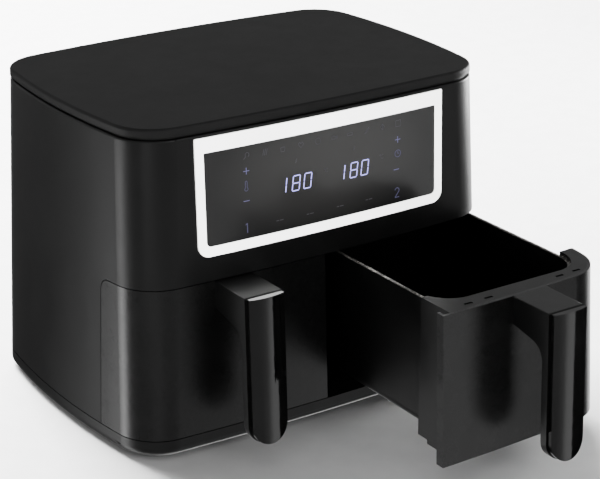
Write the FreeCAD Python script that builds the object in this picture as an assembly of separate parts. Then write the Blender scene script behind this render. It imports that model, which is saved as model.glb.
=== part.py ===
import FreeCAD, Part
import math
import os
from FreeCAD import Vector

# Twin-drawer air fryer, built as separate solids in millimetres.
# Axes: +X to the right seen from the front, +Y to the back, +Z up. The parts are drawn about the housing's
# own middle, with both drawers shut, and moved into the part's frame when they are written: the right drawer
# comes out by its rest opening, and everything shifts so that the origin lies under the middle of the whole
# bounding box, on the surface that the feet stand on.

# Driving dimensions, mm.

# The body: a rounded box with bowed sides that widens towards the worktop.
body_height = 300.0          # worktop to the top of the cover
width_at_foot = 406.0        # widest width, carried down to the worktop
side_taper = 25.0            # how much narrower it is at the top
depth_at_foot = 296.0
depth_taper = 23.0           # how much shallower it is at the top
corner_radius = 42.0
side_bow_radius = 740.0      # plan radius of the bowed sides
front_bow_radius = 2600.0
back_bow_radius = 1700.0

# Levels of the seams.
foot_height = 3.5
base_top = 18.6
drawer_top = 158.6           # the seam over the drawers
cover_thickness = 7.0
cover_shadow_gap = 3.0       # housing rim to the cover's underside
cover_seat_drop = 2.0        # housing rim down to the shelf that the cover stands on
housing_top_round = 2.0
cover_overhang = 0.4
cover_edge_round = 2.4
edge_slack = 0.1             # how near a level an edge counts as lying on it
sliver = 0.05                # kept between the two ends of a full round
seam_gap = 0.8               # shut line between drawers and housing
side_seam_setback = 71.0     # front of the body to where the drawer fronts end on the sides
side_seam_round = 11.0

# Wall thicknesses and clearances.
shell_wall = 2.6
sheet_wall = 1.0
shelf_thickness = 2.5
shelf_reach = 3.4
web_half = 1.2               # half the thickness of ribs and webs
fit_gap = 0.2                # between moulded parts that seat on each other
slide_gap = 0.3              # between parts that slide past each other
shaft_gap = 0.05             # radial, shaft in its bush
screw_gap = 0.05             # radial, screw in its hole

# Base.
base_round = 7.0             # rounding under the base
lip_root = 1.5
lip_height = 4.0
lip_thickness = 1.6
foot_radius = 10.0
foot_edge_round = 0.8
foot_pad_height = 5.2
foot_stem_radius = 3.5
foot_barb = 1.2              # how far the knob of a foot spreads past its stem
foot_barb_taper = 1.0
foot_barb_height = 3.0
foot_side_inset = 51.0
foot_end_inset = 50.0
cradle_inset = 18.0
cradle_setbacks = (155.0, 85.0, 15.0)    # ahead of the pan's back
vent_count = 7
vent_pitch = 10.0
vent_length = 28.0
vent_width = 3.0
base_screw_inset = 16.0      # from the side of the body
base_screw_y = 40.0
back_screw_inset = 15.0      # from the back of the body
back_screw_x = (-90.0, 60.0)
screw_seat_z = 9.0
boss_radius = 5.0
boss_height = 22.0

# Control panel.
frame_half_width = 130.0
frame_height = 106.0
frame_below_rim = 3.0        # under the housing's rim
frame_side_band = 8.4
frame_top_band = 13.6
frame_bottom_band = 9.0
frame_proud = 0.9
frame_corner = 11.0
frame_top_corner = 1.2
glass_corner = 4.5
glass_sunk = 0.35            # glass behind the face of the frame
carrier_thickness = 2.0
carrier_margin = 5.0
display_places = (-28.0, 33.0)
display_half_width = 22.0
display_half_height = 11.0
display_gap = 1.0            # round each display in its window
board_thickness = 1.6
board_half_width = 112.0
board_margin = 7.0
board_standoff = 7.0
spacer_radius = 3.0

# Drawers, drawn for the right-hand one.
rest_opening = 166.0         # how far the right drawer stands open
panel_inner_x = 2.0          # edge of the drawer front beside the middle
panel_skin = 3.0
panel_flange = 9.0
pan_inner_side_x = 17.5      # pan wall beside the middle, at the rim
pan_width = 157.0
pan_setback = 30.0           # front of the body to the pan's rim
pan_length = 223.0
pan_bottom = 30.0
pan_rim_drop = 4.2           # under the seam over the drawers
pan_wall = 1.2
pan_draft = 4.5              # how far each side leans in from rim to floor
pan_corner = 28.0
pan_floor_round = 9.0
rim_width = 1.6
rim_thickness = 1.4
pan_screw_drop = 34.4        # under the rim
pan_screw_inset = 36.5       # pan's sides in to its front screws
pan_screw_length = 7.0
ledge_thickness = 3.0
bracket_wall = 2.0
bracket_side_x = 11.0
bracket_side_tail = 48.0     # front of the body to the end of the bracket's inner side
bracket_wrap_tail = 62.0     # and to the end of its wrap round the corner
bracket_bottom = 21.5
bracket_step = 3.8
bracket_step_round = 1.0
bracket_step_front = 21.0
bracket_step_back = 35.0
clip_places = (36.0, 58.0, 139.0, 159.0)
clip_half = 4.0
clip_height = 2.0
clip_reach = 9.0
clip_bite = 1.0              # how far a clip reaches into the drawer front's skin
clip_thickness = 2.5
clip_rise = 1.0              # ledge top to the end of the hook, under or over it
clip_drop = 0.5              # ledge underside to the clip's arm

# Crisper plate.
plate_lift = 8.5             # plate over the pan floor
plate_thickness = 1.6
plate_edge_gap = 2.2
plate_skirt = 5.0
plate_hole_radius = 3.6
plate_hole_pitch = 17.0
plate_hole_margin = 13.0
centre_hole_scale = 2.5      # centre hole against the others
bumper_button = 1.2
bumper_radius = 4.0
bumper_stem_radius = 2.0
bumper_inset = 20.0

# Handle.
handle_width = 38.0
handle_reach = 48.5          # drawer front to the back of the gloss trim
handle_neck_height = 33.0
handle_neck_rise = 10.0      # how much the neck thins towards the grip
handle_grip_depth = 7.3
handle_bottom = 21.0
handle_inner_round = 17.0
trim_gap = 2.0
trim_depth = 5.9
trim_crown = 2.6
trim_inset = 1.2
trim_rib_half = 12.0
trim_rib_inset = 5.2
trim_rib_foot = 10.0         # rib's lower end above the handle's
trim_rib_head = 3.0
trim_rib_sink = 1.0          # how far the rib runs into the bar
handle_root = 10.0           # how far the neck is drawn into the body before it is cut back
handle_front_round = 1.5
handle_top_round = 0.8
handle_screw_drop = 12.6     # under the seam over the drawers
handle_screw_sink = 0.6
handle_screw_offset = 10.0
handle_screw_length = 16.0
screw_radius = 2.0
screw_head_radius = 3.6
screw_head_height = 2.4
screw_recess_scale = 0.6     # recess against the shank

# Cooking chambers.
chamber_side_gap = 3.0       # pan wall to chamber wall
chamber_back_gap = 7.0
chamber_bottom = 25.0
hood_height = 47.4           # seam over the drawers to the chamber's roof
chamber_corner = 20.0
mouth_corner = 6.0
shield_gap = 4.0             # air gap between chamber roof and heat shield
shaft_hole_gap = 3.0
rail_width = 10.0
rail_inset = 20.0
heater_drop = 28.0           # under the chamber's roof
heater_tube_radius = 3.2
heater_inset = 24.5          # pan's sides in to the element's inner turn
heater_pitch = 8.0
heater_bend = 9.0
heater_tail = 9.0
insulator_wall = 1.8
insulator_collar = 2.0
guard_drop = 42.0            # under the chamber's roof
guard_insets = (54.5, 28.5, 1.5)         # pan's sides in to each of its rings
guard_bar = 1.3              # half the width of its rings and bars
guard_thickness = 1.6
guard_leg = 1.9
sensor_radius = 2.5
sensor_length = 24.0
sensor_tail = 6.0
sensor_flange = 3.5          # flange past the probe
sensor_flange_thickness = 2.0
sensor_offset = 52.0
sensor_over_guard = 6.0
switch_reach = 2.5
switch_offset = 48.0
switch_plunger_half = 2.0
switch_half_width = 10.0
switch_half_height = 6.0
switch_depth = 6.0
air_hole_radius = 3.5
air_hole_pitch_x = 14.0
air_hole_pitch_z = 10.0
air_hole_columns = 5
air_hole_rows = 3
rail_front_gap = 3.0
rail_back_gap = 2.0
rail_edge_round = 1.0
shield_margin = 4.0
shield_back_margin = 12.0
shield_wall_gap = 2.0        # kept from the housing's wall
shield_foot_inset = 14.0
shield_foot_back_inset = 24.0
cutout_offset = 44.0
cutout_radius = 8.0
cutout_height = 5.0
cutout_ear_half = 13.0
cutout_ear_width_half = 4.0
cutout_tab_offset = 4.0
cutout_tab_half = 2.0
cutout_tab_height = 7.0

# Motors and fans.
fan_drop = 18.0              # blades' lower edge under the chamber's roof
fan_tip_gap = 8.0            # blades to the element's inner turn
fan_height = 10.0
fan_sheet = 1.0
fan_hub_radius = 9.0
blade_root = 2.0             # how far a blade runs into its hub
blade_tip_inset = 2.0
fan_blades = 8
nut_radius = 7.0
nut_height = 5.0
shaft_radius = 4.0
shaft_overrun = 4.0          # past the cooling fan
shaft_tail = 3.0             # below the nut
shaft_chamfer = 0.6
motor_radius = 27.0
motor_over_shield = 11.0
motor_height = 24.0
motor_edge_round = 2.5
motor_hub_wall = 4.0
motor_hub_height = 3.0
motor_end_wall = 4.0
motor_can_wall = 4.0
motor_core_inset = 9.0
terminal_half = 6.0
terminal_reach = 4.0
terminal_root = 3.0
terminal_low = 6.0
terminal_height = 8.0
mount_sheet = 1.6
mount_half_depth = 16.0
mount_side_gap = 6.0
mount_foot_half = 6.0
mount_foot_offset = 5.0
cooling_fan_gap = 8.0        # motor to cooling fan
cooling_fan_height = 10.0
cooling_hub_extra = 2.0
cooling_blade_sheet_half = 0.7
cooling_fan_radius = 40.0
cooling_fan_blades = 7
cooling_blade_half = 8.0
cooling_blade_pitch = 30.0

# Back of the housing, and the power board behind the chambers.
grille_width = 84.0
grille_height = 46.0
grille_corner = 6.0
grille_rim = 4.0
grille_proud = 0.6
grille_drop = 58.0           # its middle under the housing's rim
grille_middle_x = 92.0
grille_louvres = 6
louvre_share = 0.62          # open part of each louvre's pitch
louvre_corner = 1.2
gland_x = 118.0
gland_z = 40.0
gland_inner_length = 8.0
gland_nose = 4.5
gland_flange_thickness = 2.6
gland_bush_radius = 6.5
gland_flange_radius = 10.0
cord_radius = 3.6
power_half_width = 55.0
power_bottom = 60.0
power_top = 150.0
board_post_length = 7.0
board_post_inset = 6.0
relay_places = (-40.0, -20.0)
relay_size = (14.0, 12.0, 18.0)          # width, depth, height
relay_rise = 8.0                         # over the board's lower edge
capacitor_place = (4.0, 18.0)            # x, and height over the board's lower edge
capacitor_radius = 8.0
capacitor_length = 12.0
transformer_place = (31.0, 34.0)
transformer_size = (22.0, 13.0, 20.0)
strip_place = (-20.0, 76.0)
strip_size = (40.0, 8.0, 10.0)

# Values worked out from those.

width_at_top = width_at_foot - side_taper
depth_at_top = depth_at_foot - depth_taper
body_front = -depth_at_foot / 2
cover_bottom = body_height - cover_thickness
housing_top = cover_bottom - cover_shadow_gap
cover_seat = housing_top - cover_seat_drop
side_seam_y = body_front + side_seam_setback
foot_x = width_at_foot / 2 - foot_side_inset
foot_y = depth_at_foot / 2 - foot_end_inset
frame_top = housing_top - frame_below_rim
frame_bottom = frame_top - frame_height
panel_top = drawer_top - seam_gap
panel_bottom = base_top + seam_gap
housing_bottom = base_top + seam_gap
pan_rim = drawer_top - pan_rim_drop
pan_screw_z = pan_rim - pan_screw_drop
pan_front_y = body_front + pan_setback
pan_middle_x = pan_inner_side_x + pan_width / 2
pan_back_y = pan_front_y + pan_length
pan_floor = pan_bottom + pan_wall
pan_slope = pan_draft / (pan_rim - pan_bottom)
plate_bottom = pan_floor + plate_lift
handle_screw_z = drawer_top - handle_screw_drop
chamber_left = pan_inner_side_x - rim_width - chamber_side_gap - sheet_wall
chamber_right = pan_inner_side_x + pan_width + rim_width + chamber_side_gap + sheet_wall
chamber_back = pan_back_y + rim_width + chamber_back_gap + sheet_wall
heater_inner_radius = pan_width / 2 - heater_inset
guard_rings = [pan_width / 2 - inset for inset in guard_insets]
fan_radius = heater_inner_radius - fan_tip_gap
chamber_top = drawer_top + hood_height
heater_z = chamber_top - heater_drop
guard_z = chamber_top - guard_drop
fan_z = chamber_top - fan_drop
hood_front = pan_front_y - rim_width - sheet_wall
bulkhead_front = side_seam_y
bulkhead_back = bulkhead_front + shell_wall
fan_y = (pan_front_y + pan_back_y) / 2
shield_bottom = chamber_top + shield_gap
shield_top = shield_bottom + sheet_wall
motor_bottom = shield_top + motor_over_shield
motor_top = motor_bottom + motor_height
cooling_fan_z = motor_top + cooling_fan_gap
shaft_bottom = fan_z - nut_height - shaft_tail
shaft_top = cooling_fan_z + cooling_fan_height + shaft_overrun
sensor_place = (pan_middle_x - sensor_offset, guard_z + sensor_over_guard)
switch_place = (pan_middle_x + switch_offset, (pan_bottom + pan_rim) / 2)
grille_middle_z = housing_top - grille_drop
side_screw_x = width_at_foot / 2 - base_screw_inset
back_screw_y = depth_at_foot / 2 - back_screw_inset
side_screws = [(-side_screw_x, base_screw_y), (side_screw_x, base_screw_y)]
base_screw_places = side_screws + [(x, back_screw_y) for x in back_screw_x]
display_z = (frame_bottom + frame_bottom_band + frame_top - frame_top_band) / 2
far = 400.0                  # reach of a cutting block, outside everything
margin = 5.0                 # how far a cutter runs past what it cuts


def half_width(z):
    return (width_at_foot + (width_at_top - width_at_foot) * z / body_height) / 2


def half_depth(z):
    return (depth_at_foot + (depth_at_top - depth_at_foot) * z / body_height) / 2


# Drawing helpers.

def block(x0, x1, y0, y1, z0, z1):
    return Part.makeBox(x1 - x0, y1 - y0, z1 - z0, Vector(x0, y0, z0))


def rod(x, y, z0, z1, radius):
    return Part.makeCylinder(radius, z1 - z0, Vector(x, y, z0))


def rod_along_y(x, y0, y1, z, radius):
    return Part.makeCylinder(radius, y1 - y0, Vector(x, y0, z), Vector(0, 1, 0))


def fused(shapes):
    """One shape from several that touch or overlap."""
    return shapes[0].multiFuse(shapes[1:]).removeSplitter() if len(shapes) > 1 else shapes[0]


def separate(shapes):
    """Several solids kept apart in one group."""
    return Part.makeCompound(shapes)


def both_sides(shapes):
    """The right-hand solids and their mirror images, as one group."""
    mirrored = [s.mirror(Vector(0, 0, 0), Vector(1, 0, 0)) for s in shapes]
    return separate(shapes + mirrored)


def rounded_loop(corners, place):
    """Closed wire through corners (u, v, radius). place turns (u, v) into a point in space."""
    ends = []
    count = len(corners)
    for i, (u, v, radius) in enumerate(corners):
        here = Vector(u, v, 0)
        back = Vector(*corners[i - 1][:2], 0) - here
        ahead = Vector(*corners[(i + 1) % count][:2], 0) - here
        back.normalize()
        ahead.normalize()
        if radius <= 0:
            ends.append((here, None, here))
            continue
        half_angle = back.getAngle(ahead) / 2
        run = radius / math.tan(half_angle)
        inward = back + ahead
        inward.normalize()
        centre = here + inward * (radius / math.sin(half_angle))
        ends.append((here + back * run, centre - inward * radius, here + ahead * run))
    edges = []
    for i, (start, middle, end) in enumerate(ends):
        if middle is not None:
            edges.append(Part.Arc(place(start), place(middle), place(end)).toShape())
        next_start = ends[(i + 1) % count][0]
        if (next_start - end).Length > 1e-6:
            edges.append(Part.LineSegment(place(end), place(next_start)).toShape())
    return Part.Wire(edges)


def plan_at(z):
    return lambda p: Vector(p.x, p.y, z)


def elevation_at(y):
    """Places (u, v) as x and z in a plane facing the front."""
    return lambda p: Vector(p.x, y, p.y)


def profile_at(x):
    """Places (u, v) as y and z in a plane facing the side."""
    return lambda p: Vector(x, p.x, p.y)


def prism(wire, direction):
    return Part.Face(wire).extrude(direction)


def box_corners(u0, u1, v0, v1, radius):
    return [(u0, v0, radius), (u1, v0, radius), (u1, v1, radius), (u0, v1, radius)]


def rounded_block(x0, x1, y0, y1, z0, z1, radius):
    loop = rounded_loop(box_corners(x0, x1, y0, y1, radius), plan_at(z0))
    return prism(loop, Vector(0, 0, z1 - z0))


def circle_crossing(centre_a, radius_a, centre_b, radius_b, y_sign):
    """The crossing of two circles that lies at positive x, on the front or the back."""
    across = centre_b - centre_a
    distance = across.Length
    along = (radius_a**2 - radius_b**2 + distance**2) / (2 * distance)
    height = math.sqrt(radius_a**2 - along**2)
    foot = centre_a + across * (along / distance)
    side = Vector(-across.y, across.x, 0) * (height / distance)
    choices = [p for p in (foot + side, foot - side) if p.x > 0]
    return max(choices, key=lambda p: p.y * y_sign)


def body_outline(z, inset=0.0):
    """The body's plan outline at a height: four bowed sides joined by tangent corners."""
    w, d, r = half_width(z) - inset, half_depth(z) - inset, corner_radius - inset
    side_r = side_bow_radius - inset
    side_centre = Vector(w - side_r, 0, 0)
    tangents = {}
    for y_sign, bow in ((-1, front_bow_radius), (1, back_bow_radius)):
        end_r = bow - inset
        end_centre = Vector(0, y_sign * (d - end_r), 0)
        corner = circle_crossing(side_centre, side_r - r, end_centre, end_r - r, y_sign)
        on_side = corner + (corner - side_centre).normalize() * r
        on_end = corner + (corner - end_centre).normalize() * r
        outward = (on_side + on_end) / 2 - corner
        on_corner = corner + outward.normalize() * r
        tangents[y_sign] = (on_side, on_corner, on_end)

    def place(p, x_sign):
        return Vector(p.x * x_sign, p.y, z)

    side_f, mid_f, end_f = tangents[-1]
    side_b, mid_b, end_b = tangents[1]
    arcs = [
        (place(end_f, -1), Vector(0, -d, z), place(end_f, 1)),
        (place(end_f, 1), place(mid_f, 1), place(side_f, 1)),
        (place(side_f, 1), Vector(w, 0, z), place(side_b, 1)),
        (place(side_b, 1), place(mid_b, 1), place(end_b, 1)),
        (place(end_b, 1), Vector(0, d, z), place(end_b, -1)),
        (place(end_b, -1), place(mid_b, -1), place(side_b, -1)),
        (place(side_b, -1), Vector(-w, 0, z), place(side_f, -1)),
        (place(side_f, -1), place(mid_f, -1), place(end_f, -1)),
    ]
    return Part.Wire([Part.Arc(*a).toShape() for a in arcs])


def body_slice(z0, z1, inset=0.0):
    """Slice of the body between two heights, stepped in all round by inset."""
    ends = [body_outline(-margin, inset), body_outline(body_height + margin, inset)]
    return Part.makeLoft(ends, True, True).common(block(-far, far, -far, far, z0, z1))


def body_ring(z0, z1, outer, inner):
    """Wall that follows the body between two insets."""
    return body_slice(z0, z1, outer).cut(body_slice(z0 - 1, z1 + 1, inner))


def front_y(z, inset=0.0, x=0.0):
    """The body's front face at a height, allowing for its bow at x."""
    bow = front_bow_radius - math.sqrt(front_bow_radius**2 - x**2)
    return -half_depth(z) + inset + bow


def back_y(z, inset=0.0, x=0.0):
    bow = back_bow_radius - math.sqrt(back_bow_radius**2 - x**2)
    return half_depth(z) - inset - bow


def edges_where(shape, test):
    return [e for e in shape.Edges if test(e)]


def edges_at_level(shape, z):
    """Edges that lie flat at one height."""
    return edges_where(shape, lambda e: abs(e.BoundBox.ZMin - z) + abs(e.BoundBox.ZMax - z) < 2 * edge_slack)


def upright_edges(shape, y):
    """Edges that stand upright in the face at one depth."""
    return edges_where(shape, lambda e: e.BoundBox.ZLength > edge_slack
                       and abs(e.BoundBox.YMin - y) + abs(e.BoundBox.YMax - y) < 2 * edge_slack)


def across(middle, width):
    """The two ends of a width about its middle."""
    return middle - width / 2, middle + width / 2


def screw(point, direction, length):
    """Pan-head screw. point is under the head, and direction is the way the shank runs."""
    head = Part.makeCylinder(screw_head_radius, screw_head_height, point, direction * -1)
    rim = edges_where(head, lambda e: e.Curve.TypeId == "Part::GeomCircle"
                      and (e.Curve.Center - point).Length > screw_head_height / 2)
    head = head.makeFillet(screw_head_height / 2.5, rim)
    slot_depth = screw_head_height / 2
    top = point - direction * screw_head_height
    recess = Part.makeCylinder(screw_radius * screw_recess_scale, slot_depth, top, direction)
    shank = Part.makeCylinder(screw_radius, length, point, direction)
    return fused([head, shank]).cut(recess)


# Housing.

def bay_profile(gap):
    """Side view of the space that the drawer fronts fill, up to the seam over them."""
    high = drawer_top - gap
    rear = side_seam_y - gap
    return [(-far, 0, 0), (rear, 0, 0), (rear, high, side_seam_round - gap), (-far, high, 0)]


def window_corners(x, low, high, low_corner):
    return [(-x, low, low_corner), (x, low, low_corner),
            (x, high, frame_top_corner), (-x, high, frame_top_corner)]


def window_outline(grow):
    """Outline of the control panel's frame: square corners above, round ones below."""
    x = frame_half_width + grow
    low = frame_bottom - grow
    high = frame_top + grow
    return window_corners(x, low, high, frame_corner)


def glass_outline(grow):
    x = frame_half_width - frame_side_band + grow
    low = frame_bottom + frame_bottom_band - grow
    high = frame_top - frame_top_band + grow
    return window_corners(x, low, high, glass_corner)


def through_front(outline):
    """Cutter that carries an outline straight through the front wall."""
    return prism(rounded_loop(outline, elevation_at(-far)), Vector(0, far, 0))


def through_back(x, z, width, height, radius):
    corners = box_corners(x - width / 2, x + width / 2, z - height / 2, z + height / 2, radius)
    return prism(rounded_loop(corners, elevation_at(0)), Vector(0, far, 0))


def hood_mouth(side):
    """Hole in the housing's lower deck where the front of a cooking chamber comes down."""
    x0, x1 = sorted((side * (chamber_left - fit_gap), side * (chamber_right + fit_gap)))
    z0, z1 = drawer_top - shell_wall, drawer_top + 2 * shell_wall
    mouth = block(x0, x1, hood_front - fit_gap, 0, z0, z1)
    return mouth.makeFillet(pan_corner + fit_gap, upright_edges(mouth, hood_front - fit_gap))


def back_only(shape):
    return shape.common(block(-far, far, bulkhead_back, far, 0, far))


def front_only(shape):
    return shape.common(block(-far, far, -far, bulkhead_back, 0, far))


def main_housing():
    outer = body_slice(housing_bottom, housing_top)
    outer = outer.makeFillet(housing_top_round, edges_at_level(outer, housing_top))
    shell = outer.cut(body_slice(housing_bottom - 1, housing_top + 1, shell_wall))
    bay = prism(rounded_loop(bay_profile(0), profile_at(-far)), Vector(2 * far, 0, 0))
    deck = front_only(body_slice(drawer_top, drawer_top + shell_wall, shell_wall / 2))
    shelf = body_ring(cover_seat - shelf_thickness, cover_seat, shell_wall / 2, shell_wall + shelf_reach)
    shell = fused([shell.cut(bay), deck, shelf])
    cutters = [through_front(window_outline(fit_gap)), hood_mouth(-1), hood_mouth(1)]
    for x in (-grille_middle_x, grille_middle_x):
        cutters.append(through_back(x, grille_middle_z, grille_width + 2 * fit_gap,
                                    grille_height + 2 * fit_gap, grille_corner))
    cutters.append(rod_along_y(gland_x, 0, far, gland_z, gland_bush_radius + fit_gap))
    shell = shell.cut(separate(cutters))
    for x, y in base_screw_places:
        boss = rod(x, y, housing_bottom, housing_bottom + boss_height, boss_radius)
        web = boss_web(x, y)
        hole = rod(x, y, 0, housing_bottom + boss_height - shell_wall, screw_radius + screw_gap)
        shell = fused([shell, boss, web]).cut(hole)
    return shell


def boss_web(x, y):
    """Web from a screw boss out to the nearest wall."""
    z0, z1 = base_top + lip_height + fit_gap, housing_bottom + boss_height
    if (x, y) not in side_screws:
        web = block(x - web_half, x + web_half, y, far, z0, z1)
    else:
        x0, x1 = sorted((x, math.copysign(far, x)))
        web = block(x0, x1, y - web_half, y + web_half, z0, z1)
    return web.common(body_slice(z0, z1, shell_wall / 2))


def top_cover():
    slab = body_slice(cover_bottom, body_height, -cover_overhang)
    slab = slab.makeFillet(cover_edge_round, edges_at_level(slab, body_height))
    inside = shell_wall + fit_gap
    skirt = body_ring(cover_seat, cover_bottom, inside, inside + shell_wall)
    pocket = body_slice(cover_seat, body_height - shell_wall, inside + shell_wall)
    return fused([slab, skirt]).cut(pocket)


def base_tray():
    tray = body_slice(foot_height, base_top)
    tray = tray.makeFillet(base_round, edges_at_level(tray, foot_height))
    hollow_floor = foot_height + shell_wall
    hollow = body_slice(hollow_floor, base_top + margin, shell_wall)
    tray = tray.cut(hollow.makeFillet(base_round - shell_wall, edges_at_level(hollow, hollow_floor)))
    deck = front_only(body_slice(base_top - shell_wall, base_top, shell_wall / 2))
    inside = shell_wall + fit_gap
    lip = back_only(body_ring(base_top - lip_root, base_top + lip_height, inside, inside + lip_thickness))
    seat = body_ring(base_top - 2 * lip_root, base_top - lip_root, shell_wall / 2, inside + lip_thickness)
    seat = back_only(seat)
    parts = [tray, deck, lip, seat]
    for x in (-foot_x, foot_x):
        for y in (-foot_y, foot_y):
            parts.append(rod(x, y, foot_height, foot_height + foot_pad_height, foot_radius))
    for side in (-1, 1):
        x0, x1 = sorted((side * (chamber_left + cradle_inset), side * (chamber_right - cradle_inset)))
        for setback in cradle_setbacks:
            y = pan_back_y - setback
            parts.append(block(x0, x1, y - web_half, y + web_half, foot_height, chamber_bottom))
    for x, y in base_screw_places:
        parts.append(rod(x, y, foot_height, housing_bottom, boss_radius))
    tray = fused(parts)
    cutters = []
    for x in (-foot_x, foot_x):
        for y in (-foot_y, foot_y):
            cutters.append(rod(x, y, 0, foot_height + foot_pad_height, foot_stem_radius + screw_gap))
    for x, y in base_screw_places:
        cutters.append(rod(x, y, 0, screw_seat_z, screw_head_radius + fit_gap))
        cutters.append(rod(x, y, 0, housing_bottom + 1, screw_radius + screw_gap))
    for x in (-pan_middle_x, pan_middle_x):
        for i in range(vent_count):
            y = (i - (vent_count - 1) / 2) * vent_pitch
            slot = rounded_block(*across(x, vent_length), *across(y, vent_width), 0, hollow_floor + margin,
                                 vent_width / 2 - sliver)
            cutters.append(slot)
    return tray.cut(separate(cutters))


def rubber_feet():
    feet = []
    top = foot_height + foot_pad_height
    for x in (-foot_x, foot_x):
        for y in (-foot_y, foot_y):
            pad = rod(x, y, 0, foot_height, foot_radius)
            pad = pad.makeFillet(foot_edge_round, edges_at_level(pad, 0))
            stem = rod(x, y, foot_height, top, foot_stem_radius)
            knob = Part.makeCone(foot_stem_radius + foot_barb, foot_stem_radius - foot_barb_taper,
                                 foot_barb_height, Vector(x, y, top))
            feet.append(fused([pad, stem, knob]))
    return separate(feet)


def base_screws():
    length = housing_bottom + boss_height - 2 * shell_wall - screw_seat_z
    places = [Vector(x, y, screw_seat_z) for x, y in base_screw_places]
    return separate([screw(place, Vector(0, 0, 1), length) for place in places])


def bulkhead():
    """Plate behind the drawer fronts, with a mouth for each pan and a post between them."""
    plate = body_slice(base_top, drawer_top, shell_wall + fit_gap)
    plate = plate.common(block(-far, far, bulkhead_front, bulkhead_back, 0, far))
    mouths = []
    for side in (-1, 1):
        x0, x1 = sorted((side * (chamber_left + sheet_wall), side * (chamber_right - sheet_wall)))
        z0 = chamber_bottom + sheet_wall
        outline = [(x0, z0, mouth_corner), (x1, z0, mouth_corner), (x1, far, 0), (x0, far, 0)]
        mouths.append(through_front(outline))
    return plate.cut(separate(mouths))


def exhaust_grilles():
    """Louvred insert in each window of the back wall, with a flange against the wall's inner face."""
    grilles = []
    z0 = grille_middle_z - grille_height / 2 - 2 * grille_rim
    z1 = grille_middle_z + grille_height / 2 + 2 * grille_rim
    insert_band = body_ring(z0, z1, -grille_proud, shell_wall)
    flange_band = body_ring(z0, z1, shell_wall, shell_wall + sheet_wall)
    pitch = (grille_height - 2 * grille_rim) / grille_louvres
    slot_width = (grille_width - 3 * grille_rim) / 2
    for x in (-grille_middle_x, grille_middle_x):
        window = through_back(x, grille_middle_z, grille_width, grille_height, grille_corner)
        wider = through_back(x, grille_middle_z, grille_width + grille_rim, grille_height + grille_rim,
                             grille_corner)
        slots = []
        for i in range(grille_louvres):
            z = grille_middle_z + (i - (grille_louvres - 1) / 2) * pitch
            for half in (-1, 1):
                middle = x + half * (slot_width + grille_rim) / 2
                slots.append(through_back(middle, z, slot_width, pitch * louvre_share, louvre_corner))
        body = fused([insert_band.common(window), flange_band.common(wider)])
        grilles.append(body.cut(separate(slots)))
    return separate(grilles)


def cord_gland():
    """Bush in the back wall that the mains cord leaves through."""
    wall = back_y(gland_z, 0, gland_x)
    bush = rod_along_y(gland_x, wall - shell_wall - gland_inner_length, wall + gland_nose, gland_z,
                       gland_bush_radius)
    flange = rod_along_y(gland_x, wall - shell_wall, wall + gland_flange_thickness, gland_z,
                         gland_flange_radius)
    flange = flange.cut(body_slice(0, body_height))
    return fused([bush, flange]).cut(rod_along_y(gland_x, 0, far, gland_z, cord_radius))


# Control panel.

board_y = front_y(frame_bottom, shell_wall + carrier_thickness + board_standoff)


def display_frame():
    band = body_ring(frame_bottom - margin, frame_top + margin, -frame_proud, shell_wall)
    return band.common(through_front(window_outline(0))).cut(through_front(glass_outline(fit_gap / 2)))


def touch_panel():
    band = body_ring(frame_bottom, frame_top, glass_sunk - frame_proud, shell_wall)
    return band.common(through_front(glass_outline(0)))


def panel_carrier():
    """Moulded plate behind frame and glass, with a window for each number display."""
    z0, z1 = frame_bottom - carrier_margin, frame_top - frame_top_band / 2
    band = body_ring(z0, z1, shell_wall, shell_wall + carrier_thickness)
    x = frame_half_width + carrier_margin
    plate = band.common(block(-x, x, -far, 0, z0, z1))
    width = 2 * (display_half_width + display_gap)
    height = 2 * (display_half_height + display_gap)
    windows = [block(*across(x, width), -far, 0, *across(display_z, height)) for x in display_places]
    return plate.cut(separate(windows))


def display_board():
    return block(-board_half_width, board_half_width, board_y, board_y + board_thickness,
                 frame_bottom + board_margin, frame_top - 2 * board_margin)


def number_displays():
    """Two seven-segment modules that reach forward from the board to just behind the glass."""
    front = front_y(display_z, shell_wall + carrier_thickness)
    height = across(display_z, 2 * display_half_height)
    return separate([block(*across(x, 2 * display_half_width), front, board_y, *height)
                     for x in display_places])


def board_spacers():
    spacers = []
    inside = body_slice(frame_bottom, frame_top, shell_wall + carrier_thickness)
    for x in (-board_half_width + board_margin, board_half_width - board_margin):
        for z in (frame_bottom + 2 * board_margin, frame_top - 3 * board_margin):
            post = rod_along_y(x, front_y(z) - margin, board_y, z, spacer_radius)
            spacers.append(post.common(inside))
    return separate(spacers)


def power_board():
    y = chamber_back + board_post_length
    return block(-power_half_width, power_half_width, y, y + board_thickness, power_bottom, power_top)


def on_power_board(place, size):
    """Block that stands on the power board. place is its middle in x and its height over the lower edge."""
    face = chamber_back + board_post_length + board_thickness
    width, depth, height = size
    low = power_bottom + place[1]
    return block(*across(place[0], width), face, face + depth, low, low + height)


def power_parts():
    """Two relays, a filter capacitor, a transformer block and a terminal strip on the power board."""
    face = chamber_back + board_post_length + board_thickness
    relays = [on_power_board((x, relay_rise), relay_size) for x in relay_places]
    capacitor_x, capacitor_rise = capacitor_place
    capacitor = rod_along_y(capacitor_x, face, face + capacitor_length, power_bottom + capacitor_rise,
                            capacitor_radius)
    transformer = on_power_board(transformer_place, transformer_size)
    strip = on_power_board(strip_place, strip_size)
    return separate(relays + [capacitor, transformer, strip])


def board_posts():
    x = power_half_width - board_post_inset
    levels = (power_bottom + board_post_inset, power_top - board_post_inset)
    return both_sides([rod_along_y(x, chamber_back, chamber_back + board_post_length, z, spacer_radius)
                       for z in levels])


# Cooking chambers, drawn for the right.

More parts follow.
